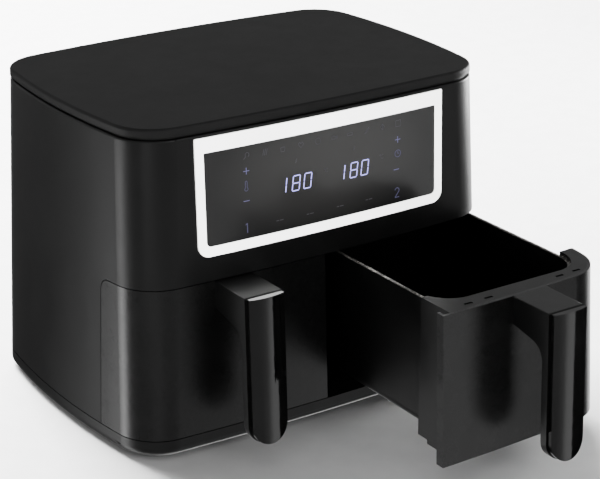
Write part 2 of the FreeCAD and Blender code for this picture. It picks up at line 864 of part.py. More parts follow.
def chamber_space(inset, reach):
    """Tunnel for the pan, with a hood over the pan's front. reach carries it past its open faces."""
    x0, x1 = chamber_left + inset, chamber_right - inset
    back, top = chamber_back - inset, chamber_top - inset
    tunnel = block(x0, x1, bulkhead_back - reach, back, chamber_bottom + inset, top)
    tunnel = tunnel.makeFillet(chamber_corner - inset, upright_edges(tunnel, back))
    hood = block(x0, x1, hood_front + inset, bulkhead_back, drawer_top - reach, top)
    hood = hood.makeFillet(pan_corner - inset, upright_edges(hood, hood_front + inset))
    return fused([tunnel, hood])


def through_chamber_back(x, z, radius):
    return rod_along_y(x, chamber_back - margin, chamber_back + margin, z, radius)


def chamber():
    body = chamber_space(0, 0).cut(chamber_space(sheet_wall, margin))
    low = chamber_top - margin
    high = chamber_top + margin
    cutters = [rod(pan_middle_x, fan_y, low, high, shaft_radius + shaft_hole_gap)]
    for x, y in heater_legs():
        cutters.append(rod(x, y, low, high, heater_tube_radius + insulator_wall))
    for i in range(air_hole_columns):
        for j in range(air_hole_rows):
            x = pan_middle_x + (i - (air_hole_columns - 1) / 2) * air_hole_pitch_x
            z = heater_z + (j - (air_hole_rows - 1) / 2) * air_hole_pitch_z
            cutters.append(through_chamber_back(x, z, air_hole_radius))
    cutters.append(through_chamber_back(*sensor_place, sensor_radius))
    cutters.append(switch_plunger(chamber_back - margin, chamber_back + margin))
    return body.cut(separate(cutters))


def temperature_sensors():
    x, z = sensor_place
    probe = rod_along_y(x, chamber_back - sensor_length, chamber_back + sensor_tail, z, sensor_radius)
    flange = rod_along_y(x, chamber_back, chamber_back + sensor_flange_thickness, z,
                         sensor_radius + sensor_flange)
    return both_sides([fused([probe, flange])])


def switch_plunger(y0, y1):
    x, z = switch_place
    side = 2 * switch_plunger_half
    return block(*across(x, side), y0, y1, *across(z, side))


def drawer_switches():
    x, z = switch_place
    body = block(*across(x, 2 * switch_half_width), chamber_back, chamber_back + switch_depth,
                 *across(z, 2 * switch_half_height))
    plunger = switch_plunger(chamber_back - sheet_wall - switch_reach, chamber_back)
    return both_sides([fused([body, plunger])])


def guide_rails():
    rails = []
    for x in (pan_inner_side_x + rail_inset, pan_inner_side_x + pan_width - rail_inset):
        top = pan_bottom - slide_gap
        rail = block(*across(x, rail_width), bulkhead_back + rail_front_gap, pan_back_y - rail_back_gap,
                     chamber_bottom + sheet_wall, top)
        rails.append(rail.makeFillet(rail_edge_round, edges_at_level(rail, top)))
    return both_sides(rails)


def heater_legs():
    """Where the two ends of a heating element pass up through the roof."""
    start = pan_middle_x + heater_inner_radius
    return [(start, fan_y - heater_bend), (start + 2 * heater_pitch, fan_y + heater_bend)]


def heating_element():
    """Tubular element: four half turns of growing radius, with both ends bent up through the roof."""
    z = heater_z
    top = shield_top + heater_tail
    easing = heater_bend * (1 - math.sin(math.pi / 4))
    (start_x, start_y), (end_x, end_y) = heater_legs()
    start = Vector(start_x, start_y, top)
    low = Vector(start_x, start_y, z + heater_bend)
    here = Vector(start_x, fan_y, z)
    edges = [Part.LineSegment(start, low).toShape(),
             Part.Arc(low, Vector(start_x, start_y + easing, z + easing), here).toShape()]
    for i in range(4):
        side = 1 if i % 2 == 0 else -1
        radius = heater_inner_radius + i * heater_pitch / 2
        centre = pan_middle_x + (i % 2) * heater_pitch / 2
        end = Vector(centre - side * radius, fan_y, z)
        edges.append(Part.Arc(here, Vector(centre, fan_y + side * radius, z), end).toShape())
        here = end
    rise = Vector(end_x, end_y, z + heater_bend)
    edges.append(Part.Arc(here, Vector(end_x, end_y - easing, z + easing), rise).toShape())
    edges.append(Part.LineSegment(rise, Vector(end_x, end_y, top)).toShape())
    ring = Part.Wire(Part.Circle(start, Vector(0, 0, 1), heater_tube_radius).toShape())
    return Part.Wire(edges).makePipeShell([ring], True, False)


def heater_insulators():
    """Ceramic bushes that hold the element's ends in the roof."""
    bushes = []
    for x, y in heater_legs():
        outer = heater_tube_radius + insulator_wall
        sleeve = rod(x, y, chamber_top - sheet_wall - insulator_collar, shield_bottom, outer)
        collar = rod(x, y, chamber_top, shield_bottom, outer + insulator_collar)
        bore = rod(x, y, 0, far, heater_tube_radius)
        bushes.append(fused([sleeve, collar]).cut(bore))
    return both_sides(bushes)


def heater_guard():
    """Guard under the element: flat rings on crossed bars, hung from the roof by a leg at each bar's end."""
    x, y, top = pan_middle_x, fan_y, guard_z + guard_thickness
    pieces = []
    for radius in guard_rings:
        ring = rod(x, y, guard_z, top, radius + guard_bar)
        pieces.append(ring.cut(rod(x, y, guard_z - margin, top + margin, radius - guard_bar)))
    reach = guard_rings[-1]
    for angle in (45, 135):
        bar = block(x - reach, x + reach, y - guard_bar, y + guard_bar, guard_z, top)
        legs = [rod(x + end * reach, y, guard_z, chamber_top - sheet_wall, guard_leg) for end in (-1, 1)]
        for piece in [bar] + legs:
            piece.rotate(Vector(x, y, 0), Vector(0, 0, 1), angle)
            pieces.append(piece)
    return fused(pieces)


def heat_shields():
    plate = block(chamber_left + shield_margin, chamber_right - shield_margin, hood_front + shield_margin,
                  chamber_back - shield_back_margin, shield_bottom, shield_top)
    plate = plate.common(body_slice(shield_bottom, shield_top, shell_wall + shield_wall_gap))
    feet = [rod(x, y, chamber_top, shield_bottom, spacer_radius)
            for x in (chamber_left + shield_foot_inset, chamber_right - shield_foot_inset)
            for y in (hood_front + shield_foot_inset, chamber_back - shield_foot_back_inset)]
    cutters = [rod(pan_middle_x, fan_y, 0, far, shaft_radius + shaft_hole_gap)]
    for x, y in heater_legs():
        cutters.append(rod(x, y, 0, far, heater_tube_radius + shaft_hole_gap))
    return both_sides([fused([plate] + feet).cut(separate(cutters))])


def thermal_cutouts():
    """Disc thermostat on two ears, with two upright tabs."""
    x = pan_middle_x - cutout_offset
    y = fan_y + cutout_offset
    top = shield_top + cutout_height
    body = rod(x, y, shield_top, top, cutout_radius)
    ears = block(*across(x, 2 * cutout_ear_half), *across(y, 2 * cutout_ear_width_half), shield_top,
                 shield_top + sheet_wall)
    tabs = [block(*across(x + offset, 2 * cutout_tab_half), *across(y, 2 * sheet_wall), top,
                  top + cutout_tab_height)
            for offset in (-cutout_tab_offset, cutout_tab_offset)]
    return both_sides([fused([body, ears] + tabs)])


def motor_bracket():
    """Bridge that holds the motor over the heat shield."""
    x = pan_middle_x
    half = motor_radius + mount_side_gap
    depth = across(fan_y, 2 * mount_half_depth)
    pieces = [block(x - half, x + half, *depth, motor_bottom - mount_sheet, motor_bottom)]
    for side in (-1, 1):
        leg_x = x + side * half
        foot_x_middle = x + side * (half + mount_foot_offset)
        pieces.append(block(*across(leg_x, 2 * mount_sheet), *depth, shield_top, motor_bottom))
        pieces.append(block(*across(foot_x_middle, 2 * mount_foot_half), *depth, shield_top,
                            shield_top + mount_sheet))
    return fused(pieces).cut(rod(x, fan_y, 0, far, shaft_radius + shaft_hole_gap))


def motor():
    """Can with end caps, a laminated core inside, a bearing hub on top and a terminal block behind."""
    x, y = pan_middle_x, fan_y
    can = rod(x, y, motor_bottom, motor_top, motor_radius)
    can = can.makeFillet(motor_edge_round, edges_where(can, lambda e: e.Curve.TypeId == "Part::GeomCircle"))
    hub = rod(x, y, motor_top, motor_top + motor_hub_height, shaft_radius + motor_hub_wall)
    terminal_bottom = motor_bottom + terminal_low
    terminal = block(*across(x, 2 * terminal_half), y + motor_radius - terminal_root,
                     y + motor_radius + terminal_reach, terminal_bottom, terminal_bottom + terminal_height)
    low = motor_bottom + motor_end_wall
    high = motor_top - motor_end_wall
    winding_space = rod(x, y, low, high, motor_radius - motor_can_wall)
    core = rod(x, y, low, high, motor_radius - motor_core_inset)
    body = fused([can, hub, terminal]).cut(winding_space.cut(core))
    return body.cut(rod(x, y, 0, far, shaft_radius + shaft_gap))


# What the motor turns.

def fan_shaft():
    shaft = rod(pan_middle_x, fan_y, shaft_bottom, shaft_top, shaft_radius)
    ends = edges_at_level(shaft, shaft_bottom) + edges_at_level(shaft, shaft_top)
    return shaft.makeChamfer(shaft_chamfer, ends)


def hot_air_fan():
    """Radial impeller: disc, hub and upright blades that throw the air out past the element."""
    x, y = pan_middle_x, fan_y
    disc = rod(x, y, fan_z + fan_height - fan_sheet, fan_z + fan_height, fan_radius)
    hub = rod(x, y, fan_z, fan_z + fan_height, fan_hub_radius)
    blades = []
    for i in range(fan_blades):
        blade = block(x + fan_hub_radius - blade_root, x + fan_radius - blade_tip_inset,
                      *across(y, fan_sheet), fan_z, fan_z + fan_height)
        blade.rotate(Vector(x, y, 0), Vector(0, 0, 1), i * 360 / fan_blades)
        blades.append(blade)
    return fused([disc, hub] + blades).cut(rod(x, y, 0, far, shaft_radius))


def cooling_fan():
    """Axial fan over the motor, with pitched blades."""
    x, y = pan_middle_x, fan_y
    hub_radius = fan_hub_radius + cooling_hub_extra
    middle_z = cooling_fan_z + cooling_fan_height / 2
    pieces = [rod(x, y, cooling_fan_z, cooling_fan_z + cooling_fan_height, hub_radius)]
    for i in range(cooling_fan_blades):
        blade = block(x + hub_radius - blade_root, x + cooling_fan_radius, *across(y, 2 * cooling_blade_half),
                      *across(middle_z, 2 * cooling_blade_sheet_half))
        blade.rotate(Vector(x, y, middle_z), Vector(1, 0, 0), cooling_blade_pitch)
        blade.rotate(Vector(x, y, 0), Vector(0, 0, 1), i * 360 / cooling_fan_blades)
        pieces.append(blade)
    return fused(pieces).cut(rod(x, y, 0, far, shaft_radius))


def fan_nut():
    x, y = pan_middle_x, fan_y
    corners = []
    for i in range(7):
        spoke = Vector(math.cos(math.pi * i / 3), math.sin(math.pi * i / 3), 0) * nut_radius
        corners.append(Vector(x, y, fan_z - nut_height) + spoke)
    nut = prism(Part.makePolygon(corners), Vector(0, 0, nut_height))
    return nut.cut(rod(x, y, 0, far, shaft_radius))


# Drawers, drawn for the right.

def pan_section(z, grow):
    """Rounded rectangle of the pan's outside at a height, grown all round."""
    lean = pan_slope * (pan_rim - z) - grow
    radius = pan_corner - lean
    x0, x1 = pan_inner_side_x + lean, pan_inner_side_x + pan_width - lean
    y0, y1 = pan_front_y + lean, pan_back_y - lean
    return rounded_loop(box_corners(x0, x1, y0, y1, radius), plan_at(z))


def pan_hull(z0, z1, grow):
    return Part.makeLoft([pan_section(z0, grow), pan_section(z1, grow)], True, True)


def pan():
    outer = pan_hull(pan_bottom, pan_rim, 0)
    outer = outer.makeFillet(pan_floor_round, edges_at_level(outer, pan_bottom))
    inner = pan_hull(pan_floor, pan_rim + 1, -pan_wall)
    inner = inner.makeFillet(pan_floor_round - pan_wall, edges_at_level(inner, pan_floor))
    rim = pan_hull(pan_rim - rim_thickness, pan_rim, rim_width)
    body = fused([outer, rim]).cut(inner)
    return body.cut(separate(pan_screw_bores(screw_radius + screw_gap)))


def pan_screw_heads():
    """Where the screws' heads seat on the inside of the pan's front wall."""
    y = pan_front_y + pan_slope * (pan_rim - pan_screw_z) + pan_wall * math.sqrt(1 + pan_slope**2)
    return [Vector(x, y, pan_screw_z) for x in across(pan_middle_x, pan_width - 2 * pan_screw_inset)]


def pan_screw_direction():
    return Vector(0, -1, -pan_slope).normalize()


def pan_screw_bores(radius):
    out = pan_screw_direction()
    return [Part.makeCylinder(radius, pan_screw_length + 2 * margin, place - out * margin, out)
            for place in pan_screw_heads()]


def pan_screws():
    return separate([screw(place, pan_screw_direction(), pan_screw_length) for place in pan_screw_heads()])


def bracket_zone():
    """Region in plan and in side view that the bracket may fill: its lower edge steps up to the pan."""
    side_tail = body_front + bracket_side_tail
    wrap_tail = body_front + bracket_wrap_tail
    left = block(bracket_side_x, pan_middle_x, -far, side_tail, 0, far)
    right = block(pan_middle_x - 1, far, -far, wrap_tail, 0, far)
    step_front = body_front + bracket_step_front
    step_back = body_front + bracket_step_back
    middle = bracket_bottom + bracket_step
    high = bracket_bottom + 2 * bracket_step
    steps = [(-far, bracket_bottom, 0), (step_front, bracket_bottom, 0),
             (step_front, middle, bracket_step_round), (step_back, middle, bracket_step_round),
             (step_back, high, bracket_step_round), (0, high, 0), (0, panel_top, 0), (-far, panel_top, 0)]
    side = prism(rounded_loop(steps, profile_at(-far)), Vector(2 * far, 0, 0))
    return fused([left, right]).common(side)


def drawer_bracket():
    """Hollow moulding that carries the pan behind the drawer front and closes the gap with a ledge."""
    low = bracket_bottom - margin
    solid = body_slice(low, panel_top, panel_skin).common(bracket_zone())
    hollow = body_slice(low, panel_top - ledge_thickness, panel_skin + bracket_wall)
    wrap_tail = body_front + bracket_wrap_tail
    hollow = hollow.common(block(bracket_side_x + bracket_wall, far, -far, wrap_tail - bracket_wall, 0, far))
    hollow = hollow.cut(pan_hull(low, panel_top + 1, bracket_wall))
    shell = solid.cut(hollow)
    shell = shell.cut(pan_hull(low, panel_top + 1, 0))
    shell = shell.cut(pan_hull(pan_rim - rim_thickness, panel_top + 1, rim_width))
    cutters = [front_clip(x, fit_gap) for x in clip_places] + pan_screw_bores(screw_radius + screw_gap)
    for point in handle_screw_heads():
        cutters.append(rod_along_y(point.x, -far, point.y + 1, point.z, screw_radius + screw_gap))
        cutters.append(rod_along_y(point.x, point.y, point.y + margin, point.z, screw_head_radius + fit_gap))
    return shell.cut(separate(cutters))


def front_clip(x, grow):
    """Snap tab from the drawer front that passes through the bracket and hooks up into its ledge."""
    y = front_y(panel_top, panel_skin - clip_bite, x)
    width = across(x, 2 * (clip_half + grow))
    back = y + clip_reach + grow
    arm_top = panel_top - ledge_thickness - clip_drop
    low = panel_top - ledge_thickness - clip_height - grow
    hook_top = panel_top + math.copysign(clip_rise, grow - sliver)
    arm = block(*width, y, back, low, arm_top)
    hook = block(*width, back - clip_thickness - 2 * grow, back, low, hook_top)
    return fused([arm, hook])


def drawer_front():
    """Outer front of a drawer: a skin that follows the body round the corner, with a returned edge."""
    skin = body_ring(panel_bottom, panel_top, 0, panel_skin)
    ahead = prism(rounded_loop(bay_profile(seam_gap), profile_at(panel_inner_x)), Vector(far, 0, 0))
    skin = skin.common(ahead)
    flange = body_ring(panel_bottom, panel_top, 0, panel_flange)
    edge = flange.common(block(panel_inner_x, panel_inner_x + panel_skin, -far, 0, 0, far))
    front = fused([skin, edge] + [front_clip(x, 0) for x in clip_places])
    bores = [rod_along_y(p.x, -far, 0, p.z, screw_radius + screw_gap) for p in handle_screw_heads()]
    return front.cut(separate(bores))


def grip_face(z, offset):
    """A point on the handle's side profile, this far in front of the drawer front at height z."""
    return front_y(z, 0, pan_middle_x) - offset, z


def handle_outline(trim):
    """Front outline of the grip, with a round lower end."""
    half = handle_width / 2 - trim
    x, z0 = pan_middle_x, handle_bottom + trim
    end_round = half - sliver
    corners = [(x - half, z0, end_round), (x + half, z0, end_round),
               (x + half, panel_top, handle_top_round), (x - half, panel_top, handle_top_round)]
    return prism(rounded_loop(corners, elevation_at(-far)), Vector(0, far, 0))


def handle():
    """Neck out from the top of the drawer front, turning down into a flat grip."""
    front = handle_reach - trim_gap
    back = front - handle_grip_depth
    neck_z = panel_top - handle_neck_height
    points = [(*grip_face(panel_top, -handle_root), 0), (*grip_face(panel_top, front), handle_front_round),
              (*grip_face(handle_bottom, front), 0), (*grip_face(handle_bottom, back), 0),
              (*grip_face(neck_z, back), handle_inner_round),
              (*grip_face(neck_z + handle_neck_rise, -handle_root), 0)]
    loop = rounded_loop(points, profile_at(pan_middle_x - handle_width))
    body = prism(loop, Vector(2 * handle_width, 0, 0)).common(handle_outline(0))
    body = body.cut(body_slice(panel_bottom - margin, panel_top + margin))
    holes = [rod_along_y(p.x, p.y - handle_screw_length - 1, 0, p.z, screw_radius + screw_gap)
             for p in handle_screw_heads()]
    return body.cut(separate(holes))


def handle_trim():
    """Gloss bar on the grip, crowned across its width, standing off on a narrower rib."""
    half = handle_width / 2 - trim_inset
    x = pan_middle_x
    base_y, foot_z = grip_face(handle_bottom, handle_reach)
    top_y, top_z = grip_face(panel_top, handle_reach)
    edge_y = base_y - trim_depth + trim_crown
    front_left = Vector(x - half, edge_y, foot_z)
    front_right = Vector(x + half, edge_y, foot_z)
    back_left = Vector(x - half, base_y, foot_z)
    back_right = Vector(x + half, base_y, foot_z)
    section = [Part.LineSegment(front_right, back_right).toShape(),
               Part.LineSegment(back_right, back_left).toShape(),
               Part.LineSegment(back_left, front_left).toShape(),
               Part.Arc(front_left, Vector(x, base_y - trim_depth, foot_z), front_right).toShape()]
    run = Vector(0, top_y - base_y, top_z - foot_z)
    bar = prism(Part.Wire(section), run).common(handle_outline(trim_inset))
    left, right = across(x, 2 * trim_rib_half)
    rib_front = base_y - trim_rib_sink
    rib_back = base_y + trim_gap
    rib_loop = [(left, rib_front), (right, rib_front), (right, rib_back), (left, rib_back), (left, rib_front)]
    rib = prism(Part.makePolygon([Vector(px, py, foot_z) for px, py in rib_loop]), run)
    rib = rib.common(handle_outline(trim_rib_inset))
    rib = rib.common(block(0, far, -far, 0, handle_bottom + trim_rib_foot, panel_top - trim_rib_head))
    return fused([bar, rib])


def handle_screw_heads():
    """Where the handle screws' heads seat, let into the back of the bracket's front wall."""
    y = front_y(handle_screw_z, panel_skin + bracket_wall - handle_screw_sink, pan_middle_x)
    return [Vector(x, y, handle_screw_z) for x in across(pan_middle_x, 2 * handle_screw_offset)]


def handle_screws():
    return separate([screw(place, Vector(0, -1, 0), handle_screw_length) for place in handle_screw_heads()])


# Crisper plate.

def crisper_plate():
    """Perforated plate with a turned-down edge that stands in the pan on four soft bumpers."""
    z0, z1 = plate_bottom - plate_skirt, plate_bottom + plate_thickness
    gap = -(pan_wall + plate_edge_gap)
    slab = pan_hull(z0, z1, gap)
    under = pan_hull(z0 - 1, plate_bottom, gap - plate_thickness)
    plate = slab.cut(under)
    x_count = int((pan_width / 2 - plate_hole_margin) / plate_hole_pitch)
    y_count = int((pan_length / 2 - plate_hole_margin) / plate_hole_pitch)
    holes = []
    for i in range(-x_count, x_count + 1):
        for j in range(-y_count, y_count + 1):
            if abs(i) == x_count and abs(j) == y_count:
                continue
            if max(abs(i), abs(j)) == 1:
                continue
            radius = plate_hole_radius if i or j else centre_hole_scale * plate_hole_radius
            holes.append(rod(pan_middle_x + i * plate_hole_pitch, fan_y + j * plate_hole_pitch,
                             plate_bottom - 1, z1 + 1, radius))
    slots = [rod(x, y, plate_bottom - 1, z1 + 1, bumper_stem_radius) for x, y in bumper_places()]
    return plate.cut(separate(holes + slots))


def bumper_places():
    x = pan_width / 2 - bumper_inset
    y = pan_length / 2 - bumper_inset
    return [(pan_middle_x + sx * x, fan_y + sy * y) for sx in (-1, 1) for sy in (-1, 1)]


def crisper_bumpers():
    bumpers = []
    for x, y in bumper_places():
        foot = rod(x, y, pan_floor + 2 * slide_gap, plate_bottom, bumper_radius)
        stem = rod(x, y, plate_bottom, plate_bottom + plate_thickness, bumper_stem_radius)
        top = plate_bottom + plate_thickness
        button = rod(x, y, top, top + bumper_button, bumper_radius)
        bumpers.append(fused([foot, stem, button]))
    return separate(bumpers)


# Placing and writing.

def mirrored_to(side, shape):
    return shape if side > 0 else shape.mirror(Vector(0, 0, 0), Vector(1, 0, 0))


def all_pieces():
    """Every piece by name, with the opening of the drawer that it rides on."""
    fixed = [main_housing, top_cover, base_tray, rubber_feet, base_screws, bulkhead, exhaust_grilles,
             cord_gland, display_frame, touch_panel, panel_carrier, display_board, number_displays,
             board_spacers, power_board, power_parts, board_posts, temperature_sensors, drawer_switches,
             guide_rails, heater_insulators, heat_shields, thermal_cutouts]
    per_side = [chamber, heating_element, heater_guard, motor_bracket, motor, fan_shaft, hot_air_fan,
                cooling_fan, fan_nut]
    per_drawer = [pan, pan_screws, drawer_bracket, drawer_front, handle, handle_trim, handle_screws,
                  crisper_plate, crisper_bumpers]
    pieces = {build.__name__: build() for build in fixed}
    for side, name, opening in ((-1, "left", 0.0), (1, "right", rest_opening)):
        for build in per_side:
            pieces[f"{name}_{build.__name__}"] = mirrored_to(side, build())
        for build in per_drawer:
            shape = mirrored_to(side, build())
            shape.translate(Vector(0, -opening, 0))
            pieces[f"{name}_{build.__name__}"] = shape
    return pieces


os.makedirs("parts", exist_ok=True)
pieces = all_pieces()
whole = Part.makeCompound(list(pieces.values())).optimalBoundingBox(False, False)
to_origin = Vector(0, -(whole.YMin + whole.YMax) / 2, 0)
print(f"housing middle lies at y = {to_origin.y:.3f} mm")
for name, shape in pieces.items():
    shape.translate(to_origin)
    shape.exportStep(f"parts/{name}.step")
print(f"{len(pieces)} parts written")
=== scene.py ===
import bpy
import math
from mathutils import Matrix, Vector
from mathutils.bvhtree import BVHTree


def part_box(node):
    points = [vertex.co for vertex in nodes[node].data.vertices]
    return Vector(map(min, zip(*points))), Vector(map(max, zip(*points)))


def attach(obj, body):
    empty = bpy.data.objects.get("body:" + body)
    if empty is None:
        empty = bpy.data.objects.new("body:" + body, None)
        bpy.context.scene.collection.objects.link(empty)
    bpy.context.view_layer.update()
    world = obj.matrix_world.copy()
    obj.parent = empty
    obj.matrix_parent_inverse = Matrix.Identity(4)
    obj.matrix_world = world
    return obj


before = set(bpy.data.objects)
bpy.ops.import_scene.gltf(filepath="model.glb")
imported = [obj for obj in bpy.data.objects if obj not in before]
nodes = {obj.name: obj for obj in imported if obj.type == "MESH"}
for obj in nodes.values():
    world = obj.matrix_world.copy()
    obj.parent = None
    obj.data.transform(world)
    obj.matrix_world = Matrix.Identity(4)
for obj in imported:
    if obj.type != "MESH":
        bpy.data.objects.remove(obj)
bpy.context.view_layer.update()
print("frame loaded:", len(nodes), "nodes")

cameraLook = {
    "place": (-0.8963, -1.3266, 0.7923),
    "aim": (0.0664, 0.1091, 0.1108),
    "lens": 114.6,
    "sensor": 36,
    "reach": 30,  # metres, past the backdrop
}


def turnTo(place, aim):
    # the turn that points a camera or a lamp at aim
    return (Vector(aim) - Vector(place)).to_track_quat("-Z", "Y").to_euler()


def addCamera(look):
    data = bpy.data.cameras.new("camera")
    data.lens = look["lens"]
    data.sensor_width = look["sensor"]
    data.clip_end = look["reach"]
    camera = bpy.data.objects.new("camera", data)
    camera.location = look["place"]
    camera.rotation_euler = turnTo(look["place"], look["aim"])
    bpy.context.collection.objects.link(camera)
    bpy.context.scene.camera = camera


addCamera(cameraLook)
print("camera set")


class Wire:
    # a socket that can be added, subtracted and multiplied like a number
    def __init__(self, finish, socket):
        self.finish = finish
        self.socket = socket

    def work(self, operation, first, second):
        return self.finish.add("ShaderNodeMath", {"operation": operation}, {0: first, 1: second})

    def __abs__(self):
        return self.work("ABSOLUTE", self, 0)

    def __add__(self, other):
        return self.work("ADD", self, other)

    def __radd__(self, other):
        return self.work("ADD", other, self)

    def __sub__(self, other):
        return self.work("SUBTRACT", self, other)

    def __rsub__(self, other):
        return self.work("SUBTRACT", other, self)

    def __mul__(self, other):
        return self.work("MULTIPLY", self, other)

    def __rmul__(self, other):
        return self.work("MULTIPLY", other, self)


class Finish:
    # one material, or the room round the object, while it is written
    def __init__(self, name, kind="materials", where="Object"):
        self.owner = getattr(bpy.data, kind).new(name)
        self.owner.use_nodes = True
        self.tree = self.owner.node_tree
        self.tree.nodes.clear()
        self.where = self.add("ShaderNodeTexCoord", output=where)

    def add(self, kind, settings=None, inputs=None, output=0):
        node = self.tree.nodes.new(kind)
        for key, value in (settings or {}).items():
            setattr(node, key, value)
        for key, value in (inputs or {}).items():
            socket = node.inputs[key]
            if isinstance(value, Wire):
                self.tree.links.new(value.socket, socket)
            else:
                socket.default_value = value
        return Wire(self, node.outputs[output]) if output is not None else node

    def placed(self, **change):
        # the object's own coordinates, turned or stretched
        return self.add("ShaderNodeMapping", {"vector_type": "POINT"}, {"Vector": self.where, **change})

    def noise(self, scale, detail=3.0, rough=0.5, stretch=None):
        where = self.placed(Scale=stretch) if stretch else self.where
        return self.add("ShaderNodeTexNoise", {"noise_dimensions": "3D"},
                        {"Vector": where, "Scale": scale, "Detail": detail, "Roughness": rough})

    def cells(self, scale, output="Distance"):
        return self.add("ShaderNodeTexVoronoi", {"feature": "F1"},
                        {"Vector": self.where, "Scale": scale}, output)

    def along(self, axis):
        return self.add("ShaderNodeSeparateXYZ", {}, {0: self.where}, axis)

    def between(self, value, low, high, toLow=0.0, toHigh=1.0):
        ends = {"From Min": low, "From Max": high, "To Min": toLow, "To Max": toHigh}
        return self.add("ShaderNodeMapRange", {"interpolation_type": "SMOOTHSTEP"}, {"Value": value, **ends})

    def mix(self, share, first, second):
        return self.add("ShaderNodeMix", {"data_type": "RGBA"}, {0: share, 6: first, 7: second}, 2)

    def bump(self, height, distance, strength=1.0):
        return self.add("ShaderNodeBump", {}, {"Strength": strength, "Distance": distance, "Height": height})

    def close(self, inputs, shader="ShaderNodeBsdfPrincipled", ending="ShaderNodeOutputMaterial"):
        surface = self.add(shader, {}, inputs)
        self.add(ending, {}, {"Surface": surface}, output=None)
        return self.owner


def grey(value, warm=0.0):
    return (value * (1 + warm), value, value * (1 - warm), 1.0)


patches = (0.35, 0.65)  # ends of a noise's range that turn it into clear patches
drift = (0.3, 0.7)  # and into a slow drift

# dark and light are the two tones of a colour, level is how much a surface mirrors face on, scales are
# in turns a metre, and depth is in metres
housingLook = {
    "dark": 0.0028, "light": 0.0042, "rough": 0.36, "roughSpread": 0.06,
    "grain": 1500.0, "depth": 0.00005, "level": 0.4,
}
coverLook = {
    "dark": 0.0075, "light": 0.0105, "rough": 0.56, "roughSpread": 0.06,
    "grain": 1100.0, "depth": 0.00008, "level": 0.3,
}
frontLook = {
    "dark": 0.0024, "light": 0.0036, "rough": 0.28, "roughSpread": 0.04,
    "grain": 1500.0, "depth": 0.00003, "level": 0.5,
}
innerLook = {
    "dark": 0.003, "light": 0.0045, "rough": 0.36, "roughSpread": 0.1,
    "grain": 900.0, "depth": 0.00005, "level": 0.35,
}
handleLook = {
    "dark": 0.003, "light": 0.0045, "rough": 0.36, "roughSpread": 0.07,
    "grain": 1700.0, "depth": 0.00004, "level": 0.4,
}
# what all the black mouldings share
mouldLook = {
    "cloud": 7.0, "handling": 38.0, "finer": 2.2, "fineRough": 0.08, "index": 1.46,
    "dust": 2600.0, "dustFrom": (0.7, 0.78), "dustWhere": (0.45, 0.7), "dustShare": 0.16, "dustTone": 0.11,
}


def mouldedPlastic(name, look, mould=mouldLook):
    f = Finish(name)
    spark = f.cells(look["grain"])  # eroded tool grain
    fine = f.noise(look["grain"] * mould["finer"], 2.0)
    cloud = f.noise(mould["cloud"], 4.0)  # slow drift of colour over a moulding
    handling = f.noise(mould["handling"], 5.0, 0.62)
    tone = f.between(cloud * 0.6 + handling * 0.4, *patches)
    colour = f.mix(tone, grey(look["dark"]), grey(look["light"]))
    dust = f.between(f.noise(mould["dust"], 1.0), *mould["dustFrom"]) * f.between(cloud, *mould["dustWhere"])
    colour = f.mix(dust * mould["dustShare"], colour, grey(mould["dustTone"]))
    rough = look["rough"] + (handling - 0.5) * look["roughSpread"] * 2 + (fine - 0.5) * mould["fineRough"]
    skin = f.bump(spark * 0.7 + fine * 0.5, look["depth"])
    return f.close({"Base Color": colour, "Roughness": rough, "Normal": skin, "IOR": mould["index"],
                    "Specular IOR Level": look["level"]})


glossLook = {
    "dark": 0.002, "light": 0.0035, "rough": 0.055, "smearRough": 0.07, "scratchRough": 0.05,
    "peel": 140.0, "depth": 0.00006, "hair": 900.0, "hairStretch": (1.0, 1.0, 0.03), "smear": 26.0,
    "index": 1.52,
}


def glossPlastic(name, look):
    f = Finish(name)
    peel = f.noise(look["peel"], 2.0)  # the slight waviness of a polished moulding
    hair = f.noise(look["hair"], 2.0, 0.5, look["hairStretch"])
    smear = f.noise(look["smear"], 4.0, 0.6)
    scratch = f.between(hair, 0.66, 0.74)
    rough = look["rough"] + f.between(smear, 0.5, 0.8) * look["smearRough"] + scratch * look["scratchRough"]
    colour = f.mix(f.between(smear, 0.3, 0.8), grey(look["dark"]), grey(look["light"]))
    return f.close({"Base Color": colour, "Roughness": rough,
                    "Normal": f.bump(peel, look["depth"], 0.5), "IOR": look["index"]})


whiteLook = {
    "dark": (0.86, 0.86, 0.85, 1), "light": (0.93, 0.93, 0.92, 1), "rough": 0.34, "roughSpread": 0.12,
    "grain": 2300.0, "grainRough": 0.06, "cloud": 18.0, "depth": 0.00003, "index": 1.5,
}


def whitePlastic(name, look):
    f = Finish(name)
    grain = f.noise(look["grain"], 2.0)
    cloud = f.noise(look["cloud"], 4.0)
    colour = f.mix(f.between(cloud, *drift), look["dark"], look["light"])
    rough = look["rough"] + (cloud - 0.5) * look["roughSpread"] + (grain - 0.5) * look["grainRough"]
    return f.close({"Base Color": colour, "Roughness": rough,
                    "Normal": f.bump(grain, look["depth"]), "IOR": look["index"]})


glassLook = {
    "dark": grey(0.017), "glow": grey(0.035, 0.02), "glowHeight": 0.24, "glowFall": (90.0, 300.0),
    "glowEnd": 1.3, "rough": 0.16, "smear": 17.0, "smearRough": 0.1, "grain": 420.0, "grainRough": 0.03,
    "depth": 0.00004, "index": 1.5,
}


